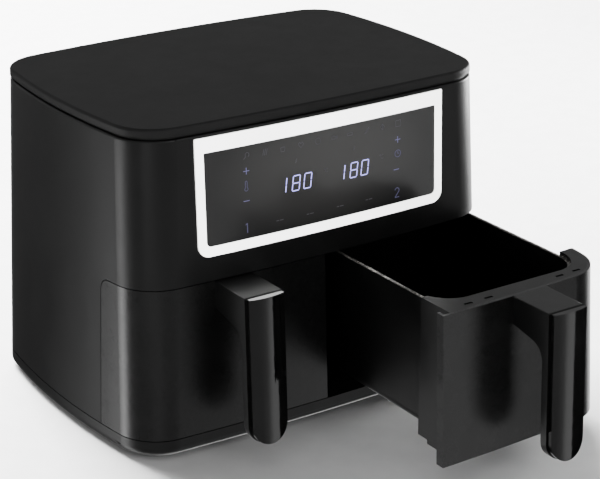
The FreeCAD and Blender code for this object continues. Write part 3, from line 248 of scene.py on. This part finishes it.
def touchGlass(name, look):
    f = Finish(name)
    x = f.along("X")
    z = f.along("Z")
    fallX, fallZ = look["glowFall"]
    up = look["glowHeight"]
    middle = (x * x) * fallX + ((z - up) * (z - up)) * fallZ
    glow = f.between(middle, 0.0, look["glowEnd"], 1.0, 0.0)  # haze of the lamps behind the smoked sheet
    smear = f.noise(look["smear"], 5.0, 0.65)
    grain = f.noise(look["grain"], 2.0)
    colour = f.mix(glow, look["dark"], look["glow"])
    rough = look["rough"] + f.between(smear, 0.45, 0.75) * look["smearRough"]
    rough = rough + (grain - 0.5) * look["grainRough"]
    return f.close({"Base Color": colour, "Roughness": rough,
                    "Normal": f.bump(smear, look["depth"], 0.4), "IOR": look["index"]})


inkFilmLook = {"film": (0.03, 0.03, 0.04, 1), "grain": 3000.0, "dimmer": 0.94, "rough": 0.5}
numberLitLook = {"colour": (0.42, 0.4, 1.0), "strength": 3.0}
markFaintLook = {"colour": (0.32, 0.3, 0.72), "strength": 0.26}
markSoftLook = {"colour": (0.42, 0.4, 0.9), "strength": 0.5}
markDimLook = {"colour": (0.42, 0.4, 0.46), "strength": 0.11}


def litSegment(name, look, ink=inkFilmLook):
    f = Finish(name)
    full = (*look["colour"], 1)
    low = (*[part * ink["dimmer"] for part in look["colour"]], 1)
    tone = f.mix(f.between(f.noise(ink["grain"], 1.0), *drift), low, full)
    return f.close({"Base Color": ink["film"], "Emission Color": tone, "Emission Strength": look["strength"],
                    "Roughness": ink["rough"]})


coatLook = {
    "dark": 0.0022, "light": 0.004, "smear": 14.0, "smearRough": 0.16, "rough": 0.33,
    "fleckScale": 1500.0, "fleck": 0.02, "fleckShare": 0.5,
    "rimHighlight": (0.3, 0.29, 0.27, 1), "rimHighlightFrom": 0.0007, "rimHighlightTo": 0.0003, "rimHighlightScale": 90.0,  # painted highlight: a light band along the top of the pan's rim
    "speck": 1900.0, "drawn": 60.0, "drawnStretch": (1.0, 1.0, 0.12), "drawnRough": 0.08,
    "depth": 0.00005, "level": 0.3, "index": 1.45,
}


def nonStick(name, rimTop, look):
    f = Finish(name)
    speck = f.cells(look["speck"])
    fleck = f.between(f.noise(look["fleckScale"], 1.0), 0.68, 0.76)
    drawn = f.noise(look["drawn"], 3.0, 0.5, look["drawnStretch"])  # draw lines down the walls
    smear = f.noise(look["smear"], 4.0, 0.6)
    colour = f.mix(f.between(smear, 0.35, 0.7), grey(look["dark"]), grey(look["light"]))
    colour = f.mix(fleck * look["fleckShare"], colour, grey(look["fleck"]))
    z = f.along("Z")
    # painted highlight: a thin light band of metal colour, slightly less rough, painted along the top of the
    # rim
    edge = f.between(z, rimTop - look["rimHighlightFrom"], rimTop - look["rimHighlightTo"])
    edge = edge * f.between(f.noise(look["rimHighlightScale"], 3.0), 0.3, 0.6)
    colour = f.mix(edge, colour, look["rimHighlight"])
    rough = look["rough"] + (smear - 0.5) * look["smearRough"] + (drawn - 0.5) * look["drawnRough"]
    rough = rough - edge * 0.08
    skin = f.bump(speck * 0.6 + drawn * 0.8, look["depth"])
    return f.close({"Base Color": colour, "Roughness": rough, "Metallic": edge * 0.9, "Normal": skin,
                    "IOR": look["index"], "Specular IOR Level": look["level"]})


# brushed is the stretch of the brush lines, and spangle the share of crystals in the tone
chamberLook = {"light": 0.34, "dark": 0.24, "rough": 0.42, "brushed": (1.0, 0.03, 1.0), "spangle": 0.35}
turnedLook = {"light": 0.5, "dark": 0.38, "rough": 0.3, "brushed": (1.0, 1.0, 0.05)}
pressedLook = {"light": 0.66, "dark": 0.5, "rough": 0.36, "brushed": (1.0, 0.03, 1.0)}
motorLook = {"light": 0.36, "dark": 0.28, "rough": 0.4, "brushed": (1.0, 1.0, 0.08)}
sheetLook = {
    "lines": 700.0, "cloud": 9.0, "crystals": 70.0, "roughSpread": 0.15, "depth": 0.00003,
    "stain": (0.24, 0.2, 0.15, 1), "stainScale": 22.0, "stainFrom": (0.62, 0.8), "stainShare": 0.3,
    "stainRough": 0.15, "stainDull": 0.35,
}


def metalSheet(name, look, sheet=sheetLook):
    f = Finish(name)
    lines = f.noise(sheet["lines"], 3.0, 0.6, look["brushed"])
    cloud = f.noise(sheet["cloud"], 4.0)
    tone = f.between(lines * 0.6 + cloud * 0.4, *patches)
    if "spangle" in look:
        share = look["spangle"]
        tone = tone * (1 - share) + f.cells(sheet["crystals"], "Color") * share  # a chance grey for each
    colour = f.mix(tone, grey(look["dark"]), grey(look["light"]))
    stain = f.between(f.noise(sheet["stainScale"], 5.0, 0.65), *sheet["stainFrom"])
    colour = f.mix(stain * sheet["stainShare"], colour, sheet["stain"])
    rough = look["rough"] + (lines - 0.5) * sheet["roughSpread"] + stain * sheet["stainRough"]
    return f.close({"Base Color": colour, "Metallic": 1.0 - stain * sheet["stainDull"], "Roughness": rough,
                    "Normal": f.bump(lines, sheet["depth"])})


rubberLook = {
    "dark": 0.012, "light": 0.03, "bloom": 60.0, "rough": 0.74, "roughSpread": 0.2,
    "grain": 1300.0, "depth": 0.00005,
}


def softRubber(name, look):
    f = Finish(name)
    bloom = f.noise(look["bloom"], 4.0, 0.6)
    grain = f.cells(look["grain"])
    colour = f.mix(f.between(bloom, 0.4, 0.75), grey(look["dark"]), grey(look["light"]))
    return f.close({"Base Color": colour, "Roughness": look["rough"] + (bloom - 0.5) * look["roughSpread"],
                    "Normal": f.bump(grain, look["depth"])})


creamLook = {"light": (0.5, 0.47, 0.38, 1), "dark": (0.4, 0.37, 0.3, 1), "rough": 0.5}
spacerLook = {"light": (0.78, 0.77, 0.73, 1), "dark": (0.68, 0.67, 0.63, 1), "rough": 0.55}
ceramicLook = {"light": (0.74, 0.71, 0.64, 1), "dark": (0.6, 0.57, 0.5, 1), "rough": 0.8}
unlitLook = {"light": (0.03, 0.03, 0.036, 1), "dark": (0.024, 0.024, 0.028, 1), "rough": 0.3}
plainLook = {"cloud": 45.0, "roughSpread": 0.16, "grain": 1600.0, "depth": 0.00004}


def plainMoulding(name, look, plain=plainLook):
    f = Finish(name)
    cloud = f.noise(plain["cloud"], 4.0)
    grain = f.noise(plain["grain"], 2.0)
    colour = f.mix(f.between(cloud, *patches), look["dark"], look["light"])
    return f.close({"Base Color": colour, "Roughness": look["rough"] + (cloud - 0.5) * plain["roughSpread"],
                    "Normal": f.bump(grain, plain["depth"])})


boardLook = {
    "dark": (0.006, 0.05, 0.02, 1), "light": (0.01, 0.075, 0.03, 1), "track": (0.02, 0.13, 0.05, 1),
    "pad": (0.45, 0.43, 0.38, 1), "padScale": 300.0, "mask": 120.0, "rough": 0.34, "roughSpread": 0.1,
    "depth": 0.00008, "offset": 0.37,
    "bricks": {"Scale": 220.0, "Mortar Size": 0.07, "Brick Width": 1.3, "Row Height": 0.5},
}


def circuitBoard(name, look):
    f = Finish(name)
    upright = f.placed(Rotation=(math.pi / 2, 0, 0))  # the board stands, so its tracks run over x and z
    tracks = f.add("ShaderNodeTexBrick", {"offset": look["offset"], "squash": 1.0},
                   {"Vector": upright, **look["bricks"]}, "Fac")
    pads = f.between(f.cells(look["padScale"]), 0.16, 0.1)
    mask = f.noise(look["mask"], 3.0)
    colour = f.mix(f.between(mask, *drift), look["dark"], look["light"])
    colour = f.mix(tracks * 0.6, colour, look["track"])
    colour = f.mix(pads * 0.7, colour, look["pad"])
    rough = look["rough"] + (mask - 0.5) * look["roughSpread"]
    return f.close({"Base Color": colour, "Metallic": pads * 0.6, "Roughness": rough,
                    "Normal": f.bump(tracks + pads, look["depth"])})


elementLook = {
    "cool": (0.16, 0.15, 0.14, 1), "burnt": (0.24, 0.19, 0.16, 1), "heat": 16.0,
    "oxide": (0.07, 0.07, 0.08, 1), "oxideScale": 240.0, "oxideShare": 0.6,
    "rough": 0.48, "roughSpread": 0.3, "metal": 0.75, "depth": 0.00008,
}


def heaterTube(name, look):
    f = Finish(name)
    oxide = f.noise(look["oxideScale"], 4.0, 0.6)
    heat = f.noise(look["heat"], 3.0)
    colour = f.mix(f.between(heat, *patches), look["cool"], look["burnt"])
    colour = f.mix(f.between(oxide, 0.55, 0.75) * look["oxideShare"], colour, look["oxide"])
    return f.close({"Base Color": colour, "Metallic": look["metal"], "Normal": f.bump(oxide, look["depth"]),
                    "Roughness": look["rough"] + (oxide - 0.5) * look["roughSpread"]})


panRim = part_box("left_pan")[1][2]
pastRim = panRim + 1  # so high that no painted rim highlight shows
housingBlack = mouldedPlastic("housingBlack", housingLook)
coverBlack = mouldedPlastic("coverBlack", coverLook)
frontBlack = mouldedPlastic("frontBlack", frontLook)
innerBlack = mouldedPlastic("innerBlack", innerLook)
handleBlack = mouldedPlastic("handleBlack", handleLook)
trimGloss = glossPlastic("trimGloss", glossLook)
frameWhite = whitePlastic("frameWhite", whiteLook)
smokedGlass = touchGlass("smokedGlass", glassLook)
panCoat = nonStick("panCoat", panRim, coatLook)
plateCoat = nonStick("plateCoat", pastRim, coatLook)
chamberSteel = metalSheet("chamberSteel", chamberLook)
turnedSteel = metalSheet("turnedSteel", turnedLook)
pressedAluminium = metalSheet("pressedAluminium", pressedLook)
motorSteel = metalSheet("motorSteel", motorLook)
feetRubber = softRubber("feetRubber", rubberLook)
bumperSilicone = softRubber("bumperSilicone", rubberLook)
boardGreen = circuitBoard("boardGreen", boardLook)
partCream = plainMoulding("partCream", creamLook)
spacerWhite = plainMoulding("spacerWhite", spacerLook)
ceramicWhite = plainMoulding("ceramicWhite", ceramicLook)
elementGrey = heaterTube("elementGrey", elementLook)
print("finishes written")

# what each piece of the frame wears, with left_ and right_ left off its name
wears = {
    "main_housing": housingBlack, "top_cover": coverBlack, "base_tray": housingBlack, "bulkhead": innerBlack,
    "exhaust_grilles": innerBlack, "cord_gland": innerBlack, "display_frame": frameWhite,
    "touch_panel": smokedGlass, "panel_carrier": innerBlack, "display_board": boardGreen,
    "number_displays": trimGloss, "board_spacers": spacerWhite, "power_board": boardGreen,
    "power_parts": partCream, "board_posts": spacerWhite, "rubber_feet": feetRubber,
    "base_screws": turnedSteel, "temperature_sensors": turnedSteel, "drawer_switches": partCream,
    "guide_rails": turnedSteel, "heater_insulators": ceramicWhite, "heat_shields": chamberSteel,
    "thermal_cutouts": partCream,
    "chamber": chamberSteel, "heating_element": elementGrey, "heater_guard": turnedSteel,
    "motor_bracket": chamberSteel, "motor": motorSteel, "fan_shaft": turnedSteel,
    "hot_air_fan": pressedAluminium, "cooling_fan": innerBlack, "fan_nut": turnedSteel,
    "pan": panCoat, "pan_screws": turnedSteel, "drawer_bracket": innerBlack, "drawer_front": frontBlack,
    "handle": handleBlack, "handle_trim": trimGloss, "handle_screws": turnedSteel,
    "crisper_plate": plateCoat, "crisper_bumpers": bumperSilicone,
}
edgeLook = {"steps": 2, "sharperThan": 38}
edgeWidths = {
    "drawer_front": 0.0007, "drawer_bracket": 0.0005, "handle": 0.0008, "handle_trim": 0.0006,
    "main_housing": 0.0005, "display_frame": 0.0004, "base_tray": 0.0005, "crisper_plate": 0.0003,
    "exhaust_grilles": 0.0003,
}


def plainName(node):
    for side in ("left_", "right_"):
        if node.startswith(side):
            return node[len(side):]
    return node


def dress(node, piece):
    plain = plainName(node)
    piece.data.materials.clear()
    piece.data.materials.append(wears[plain])
    if plain in edgeWidths:
        edge = piece.modifiers.new("edge", "BEVEL")
        edge.width = edgeWidths[plain]
        edge.segments = edgeLook["steps"]
        edge.limit_method = "ANGLE"
        edge.angle_limit = math.radians(edgeLook["sharperThan"])
        edge.harden_normals = True


for node, piece in nodes.items():
    dress(node, piece)
print("frame pieces dressed")

inkLook = {"lift": 0.00012, "foot": 0.3, "probe": 0.05}  # foot is the ink's underside, as a share of lift
glassMesh = nodes["touch_panel"].data
glassTree = BVHTree.FromPolygons([v.co.copy() for v in glassMesh.vertices],
                                 [tuple(p.vertices) for p in glassMesh.polygons])
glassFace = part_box("touch_panel")[0][1]


def onGlass(x, z, lift):
    hit = glassTree.ray_cast(Vector((x, glassFace - inkLook["probe"], z)), Vector((0, 1, 0)))
    return Vector((x, hit[0].y - lift, z))


def inkPiece(name, shapes, material):
    # flat shapes in x and z, in metres, laid on the glass with a hair of thickness
    lift = inkLook["lift"]
    points, faces = [], []
    for shape in shapes:
        start = len(points)
        count = len(shape)
        points += [onGlass(x, z, lift) for x, z in shape]
        points += [onGlass(x, z, lift * inkLook["foot"]) for x, z in shape]
        faces.append(tuple(range(start, start + count)))
        faces.append(tuple(reversed(range(start + count, start + 2 * count))))
        for i in range(count):
            after = (i + 1) % count
            faces.append((start + after, start + i, start + count + i, start + count + after))
    mesh = bpy.data.meshes.new(name)
    mesh.from_pydata(points, [], faces)
    mesh.update()
    mesh.materials.append(material)
    piece = bpy.data.objects.new(name, mesh)
    bpy.context.collection.objects.link(piece)
    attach(piece, "housing")


def stroke(a, b, width, taper=0.0):
    # a bar from a to b with pointed or square ends
    ax, az = a
    bx, bz = b
    length = math.hypot(bx - ax, bz - az)
    ux, uz = (bx - ax) / length, (bz - az) / length
    nx, nz = -uz * width / 2, ux * width / 2
    cx, cz, dx, dz = ax + ux * taper, az + uz * taper, bx - ux * taper, bz - uz * taper
    sides = [(cx + nx, cz + nz), (dx + nx, dz + nz), (dx - nx, dz - nz), (cx - nx, cz - nz)]
    return [a, *sides[:2], b, *sides[2:]] if taper else sides


def path(points, width, closed=False):
    ends = points + [points[0]] if closed else points
    return [stroke(ends[i], ends[i + 1], width) for i in range(len(ends) - 1)]


def ring(x, z, radius, width, start=0, end=360, steps=18, squash=1.0):
    turn = [math.radians(start + (end - start) * i / steps) for i in range(steps + 1)]
    return path([(x + radius * math.cos(t), z + radius * squash * math.sin(t)) for t in turn], width)


numberLook = {
    "figures": "180", "height": 0.0134, "width": 0.0072, "bar": 0.00088, "slant": 0.13, "gap": 0.00018,
    "low": 0.2239, "starts": {"left": -0.0434, "right": 0.0178},
    "first": 0.0012, "second": 0.0079, "pitch": 0.0119,  # where the figures stand after a start
}
segmentsOf = {"0": "abcdef", "1": "bc", "8": "abcdefg"}


def digitSegments(x, wanted, look):
    w, h, gap, bar = look["width"], look["height"], look["gap"], look["bar"]
    ends = {
        "a": ((0, h), (w, h)), "b": ((w, h), (w, h / 2)), "c": ((w, h / 2), (w, 0)), "d": ((0, 0), (w, 0)),
        "e": ((0, 0), (0, h / 2)), "f": ((0, h / 2), (0, h)), "g": ((0, h / 2), (w, h / 2)),
    }
    bars = []
    for key in wanted:
        (ax, az), (bx, bz) = ends[key]
        length = math.hypot(bx - ax, bz - az)
        ux, uz = (bx - ax) / length, (bz - az) / length
        a = (ax + ux * gap, az + uz * gap)
        b = (bx - ux * gap, bz - uz * gap)
        upright = stroke(a, b, bar, bar / 2)
        bars.append([(x + px + pz * look["slant"], look["low"] + pz) for px, pz in upright])
    return bars


def addNumber(side, look):
    # the unlit bars of the second and third figures stay just visible
    lit, unlit = [], []
    start = look["starts"][side]
    for i, figure in enumerate(look["figures"]):
        x = start + look["second"] + (i - 1) * look["pitch"] if i else start - look["width"] + look["first"]
        on = segmentsOf[figure]
        lit += digitSegments(x, on, look)
        if i:
            unlit += digitSegments(x, [key for key in segmentsOf["8"] if key not in on], look)
    inkPiece(side + "Number", lit, numberLit)
    if unlit:
        inkPiece(side + "NumberUnlit", unlit, numberUnlit)


numberLit = litSegment("numberLit", numberLitLook)
numberUnlit = plainMoulding("numberUnlit", unlitLook)
markFaint = litSegment("markFaint", markFaintLook)
markSoft = litSegment("markSoft", markSoftLook)
markDim = litSegment("markDim", markDimLook)
for side in numberLook["starts"]:
    addNumber(side, numberLook)

# outlines drawn about a mark's place, with line in millimetres: rings are middle, radius, start and end in
# degrees, steps and squash, and runs are closed or open
markOutlines = {
    "leg": {"line": 0.5, "rings": [(0.3, 0.3, 0.7, -60, 220, 10, 1)], "open": [[(-0.2, -0.2), (-1, -1)]]},
    "wedges": {"line": 0.5, "open": [[(-0.9, -1), (-0.4, 1)], [(-0.3, -1), (0.2, 1)], [(0.3, -1), (0.8, 1)]]},
    "bag": {"line": 0.5, "closed": [[(-0.8, 0.4), (-0.6, -1), (0.6, -1), (0.8, 0.4)]]},
    "heart": {"line": 0.5, "closed": [[(0, -1), (-1, 0.2), (-0.5, 0.8), (0, 0.35), (0.5, 0.8), (1, 0.2)]]},
    "ring": {"line": 0.5, "rings": [(0, 0, 1, 0, 360, 14, 1)]},
    "fish": {"line": 0.5, "rings": [(-0.2, 0, 0.9, 25, 335, 12, 0.55)],
             "open": [[(0.6, 0.3), (1.2, -0.5), (1.2, 0.5), (0.6, -0.3)]]},
    "slab": {"line": 0.5, "closed": [[(-1, -0.4), (1, -0.4), (1, 0.4), (-1, 0.4)]]},
    "stick": {"line": 0.5, "open": [[(-1, -1), (1, 1)], [(-0.6, -1), (1, 0.6)]]},
    "leaf": {"line": 0.5, "closed": [[(0, -1), (-0.8, 0), (0, 1), (0.8, 0)]], "open": [[(0, -1), (0, 1)]]},
    "square": {"line": 0.5, "closed": [[(-1, -1), (1, -1), (1, 1), (-1, 1)]]},
    "plus": {"line": 0.6, "open": [[(-3, 0), (-0.3, 0)], [(0.3, 0), (3, 0)], [(0, -3), (0, 3)]]},
    "minus": {"line": 0.6, "open": [[(-3, 0), (3, 0)]]},
    "thermometer": {"line": 0.5, "rings": [(0, -2.9, 1.6, 125, 415, 18, 1)],
                    "open": [[(-0.9, -1.5), (-0.9, 3.8), (0, 4.6), (0.9, 3.8), (0.9, -1.5)]]},
    "clock": {"line": 0.6, "rings": [(0, 0, 3.2, 0, 360, 18, 1)],
              "open": [[(0, 0), (0, 2)], [(0, 0), (1.5, 0)]]},
    "one": {"line": 0.8, "open": [[(0, -4.4), (0, 4.4)], [(-1.6, 3), (0, 4.4)]]},
    "two": {"line": 0.8, "rings": [(0, 2.024, 2.376, 170, -25, 8, 1)],
            "open": [[(2.138, 1.026), (-2.376, -4.4)], [(-2.376, -4.4), (2.376, -4.4)]]},
    "caption": {"line": 0.7, "open": [[(-3.6, 0), (-1, 0)], [(0, 0), (3.6, 0)]]},
    "degreeDot": {"line": 0.4, "rings": [(-1.6, 1.6, 0.6, 0, 360, 8, 1)]},
    "degree": {"line": 0.5, "rings": [(0.8, 0, 1.7, 50, 310, 10, 1)]},
    "flash": {"line": 0.5, "open": [[(-0.8, 0), (0.8, 1.6), (-0.4, 2), (1, 3.8)]]},
}
# size is what one unit of an outline measures, and each mark is its kind and its place in x and z
markLook = {
    "foodMarks": {"finish": markDim, "size": 0.0028, "marks": [
        ("leg", -0.0805, 0.2642), ("wedges", -0.0618, 0.2642), ("bag", -0.044, 0.2642),
        ("heart", -0.0254, 0.2642), ("ring", -0.0077, 0.2642), ("fish", 0.0092, 0.2642),
        ("slab", 0.0263, 0.2642), ("stick", 0.0446, 0.2642), ("leaf", 0.062, 0.2642),
        ("square", 0.0797, 0.2642)]},
    "keyMarks": {"finish": markSoft, "size": 0.001, "marks": [
        ("plus", -0.081, 0.2508), ("minus", -0.0816, 0.2241),
        ("plus", 0.0791, 0.2493), ("minus", 0.0774, 0.2216)]},
    "sideMarks": {"finish": markFaint, "size": 0.001, "marks": [
        ("thermometer", -0.0814, 0.2375), ("clock", 0.0791, 0.2363),
        ("one", -0.0815, 0.1996), ("two", 0.0781, 0.1997)]},
    "smallMarks": {"finish": markDim, "size": 0.001, "marks": [
        ("caption", -0.0487, 0.2001), ("caption", -0.0173, 0.1997),
        ("caption", 0.0147, 0.2001), ("caption", 0.0463, 0.1999),
        ("degreeDot", 0.0003, 0.2362), ("degree", 0.0003, 0.2362),
        ("degreeDot", 0.0608, 0.2369), ("degree", 0.0608, 0.2369),
        ("flash", -0.0309, 0.2488), ("flash", 0.0304, 0.2488)]},
}


def markShapes(kind, x, z, size):
    outline = markOutlines[kind]
    line = outline["line"] / 1000
    shapes = []
    for acrossBy, upBy, radius, start, end, steps, squash in outline.get("rings", []):
        shapes += ring(x + acrossBy * size, z + upBy * size, radius * size, line, start, end, steps, squash)
    for way in ("closed", "open"):
        for run in outline.get(way, []):
            points = [(x + acrossBy * size, z + upBy * size) for acrossBy, upBy in run]
            shapes += path(points, line, way == "closed")
    return shapes


for name, look in markLook.items():
    shapes = [shape for kind, x, z in look["marks"] for shape in markShapes(kind, x, z, look["size"])]
    inkPiece(name, shapes, look["finish"])
print("touch panel marked")

paperLook = {
    "dark": 0.8, "light": 0.84, "rough": 0.7, "fibre": 35.0, "depth": 0.0002,
    "side": 7.0, "front": -7.0, "back": 5.0, "bend": 1.5, "rise": 4.0, "steps": 10,
}


def stagePiece(name, points, faces, material):
    mesh = bpy.data.meshes.new(name)
    mesh.from_pydata(points, [], faces)
    mesh.materials.append(material)
    piece = bpy.data.objects.new(name, mesh)
    bpy.context.collection.objects.link(piece)
    for face in mesh.polygons:
        face.use_smooth = True
    piece.visible_glossy = False  # glossy faces mirror the room instead
    return piece


def addStage(look):
    f = Finish("floorPaper")
    fibre = f.noise(look["fibre"], 5.0)
    colour = f.mix(f.between(fibre, *drift), grey(look["dark"]), grey(look["light"]))
    paper = f.close({"Base Color": colour, "Roughness": look["rough"],
                     "Normal": f.bump(fibre, look["depth"], 0.2)})
    side, front, back, bend, steps = look["side"], look["front"], look["back"], look["bend"], look["steps"]
    corners = [(-side, front, 0), (side, front, 0), (side, back, 0), (-side, back, 0)]
    floor = stagePiece("floor", corners, [(0, 1, 2, 3)], paper)
    points = []
    for i in range(steps + 1):
        turn = math.pi / 2 * i / steps
        y = back + bend * math.sin(turn)
        z = bend * (1 - math.cos(turn))
        points += [(-side, y, z), (side, y, z)]
    points += [(-side, back + bend, look["rise"]), (side, back + bend, look["rise"])]
    strips = [(i, i + 1, i + 3, i + 2) for i in range(0, len(points) - 2, 2)]
    return [floor, stagePiece("backdrop", points, strips, paper)]


# what polished and satin faces mirror: pale below and dim above, with some bearings darker or brighter
roomLook = {
    "above": 0.42,
    "below": 0.6,
    "horizon": (-0.38, -0.08),
    # bearing from the front, half width and softness in degrees, then how bright it is against the rest
    "bearings": (
        (69.0, 22.0, 1.5, 0.03),  # dark half of the handle trims
        (-162.0, 20.0, 6.0, 0.05),  # keeps the left side dark
        (-119.0, 10.0, 6.0, 13.0),  # line of light down the front left corner
        (-64.0, 24.0, 10.0, 0.5),  # and the dark beside it
        (2.0, 20.0, 8.0, 0.6),  # left drawer front
        (40.0, 9.0, 6.0, 2.4),  # sheen on the right drawer front
        (123.0, 22.0, 10.0, 5.0),  # where that front wraps round the corner
    ),
}


def addRoom(look):
    f = Finish("room", "worlds", "Generated")
    x, y, z = f.along("X"), f.along("Y"), f.along("Z")
    bearing = x.work("ARCTAN2", x, 0 - y)
    share = 1.0
    for middle, half, soft, strength in look["bearings"]:
        off = abs(bearing - math.radians(middle))
        inside = f.between(off, math.radians(half - soft), math.radians(half + soft), 1.0, 0.0)
        share = share * (1 + inside * (strength - 1))
    lower = f.between(z, *look["horizon"], 1.0, 0.0)
    strength = look["above"] + lower * (share * look["below"] - look["above"])
    f.close({"Color": (1, 1, 1, 1), "Strength": strength}, "ShaderNodeBackground", "ShaderNodeOutputWorld")
    bpy.context.scene.world = f.owner


# metres and watts; a lamp with "only" shines on nothing else
lampLook = {
    "keyFront": {"place": (0.6, -2.9, 1.3), "aim": (0.1, -0.1, 0.1), "size": (0.9, 0.8), "power": 12},
    "keyLeft": {"place": (-2.0, -1.7, 0.2), "aim": (-0.2, 0, 0.3), "size": (0.25, 0.4), "power": 4},
    "rimRight": {"place": (1.5, 0.2, 0.2), "aim": (0.2, -0.2, 0.1), "size": (0.4, 0.4), "power": 42},
    "frameWash": {"place": (-0.4, -1.8, 0.5), "aim": (0, 0, 0.23), "size": (0.5, 0.3), "power": 165,
                  "only": "frame"},
    "overhead": {"place": (-0.1, 1.7, 2.1), "aim": (0, 0.2, 0), "size": (0.8, 0.8), "power": 330,
                 "only": "paper"},
    "backWash": {"place": (0.6, 3.0, 2.6), "aim": (0.5, 1.6, 0), "size": (3.6, 1.6), "power": 720,
                 "only": "paper"},
}


def onlyOn(name, pieces):
    # a group of the pieces that some lamps shine on
    group = bpy.data.collections.new(name)
    for piece in pieces:
        group.objects.link(piece)
    return group


def addLight(name, look, groups):
    data = bpy.data.lights.new(name, "AREA")
    data.shape = "RECTANGLE"
    data.size, data.size_y = look["size"]
    data.energy = look["power"]
    data.spread = math.pi
    lamp = bpy.data.objects.new(name, data)
    lamp.location = look["place"]
    lamp.rotation_euler = turnTo(look["place"], look["aim"])
    bpy.context.collection.objects.link(lamp)
    if "only" in look:
        lamp.light_linking.receiver_collection = groups[look["only"]]


litAlone = {
    "paper": onlyOn("paper", addStage(paperLook)),
    "frame": onlyOn("frame", [nodes["display_frame"]]),
}
for name, look in lampLook.items():
    addLight(name, look, litAlone)
addRoom(roomLook)
print("stage and lights set")
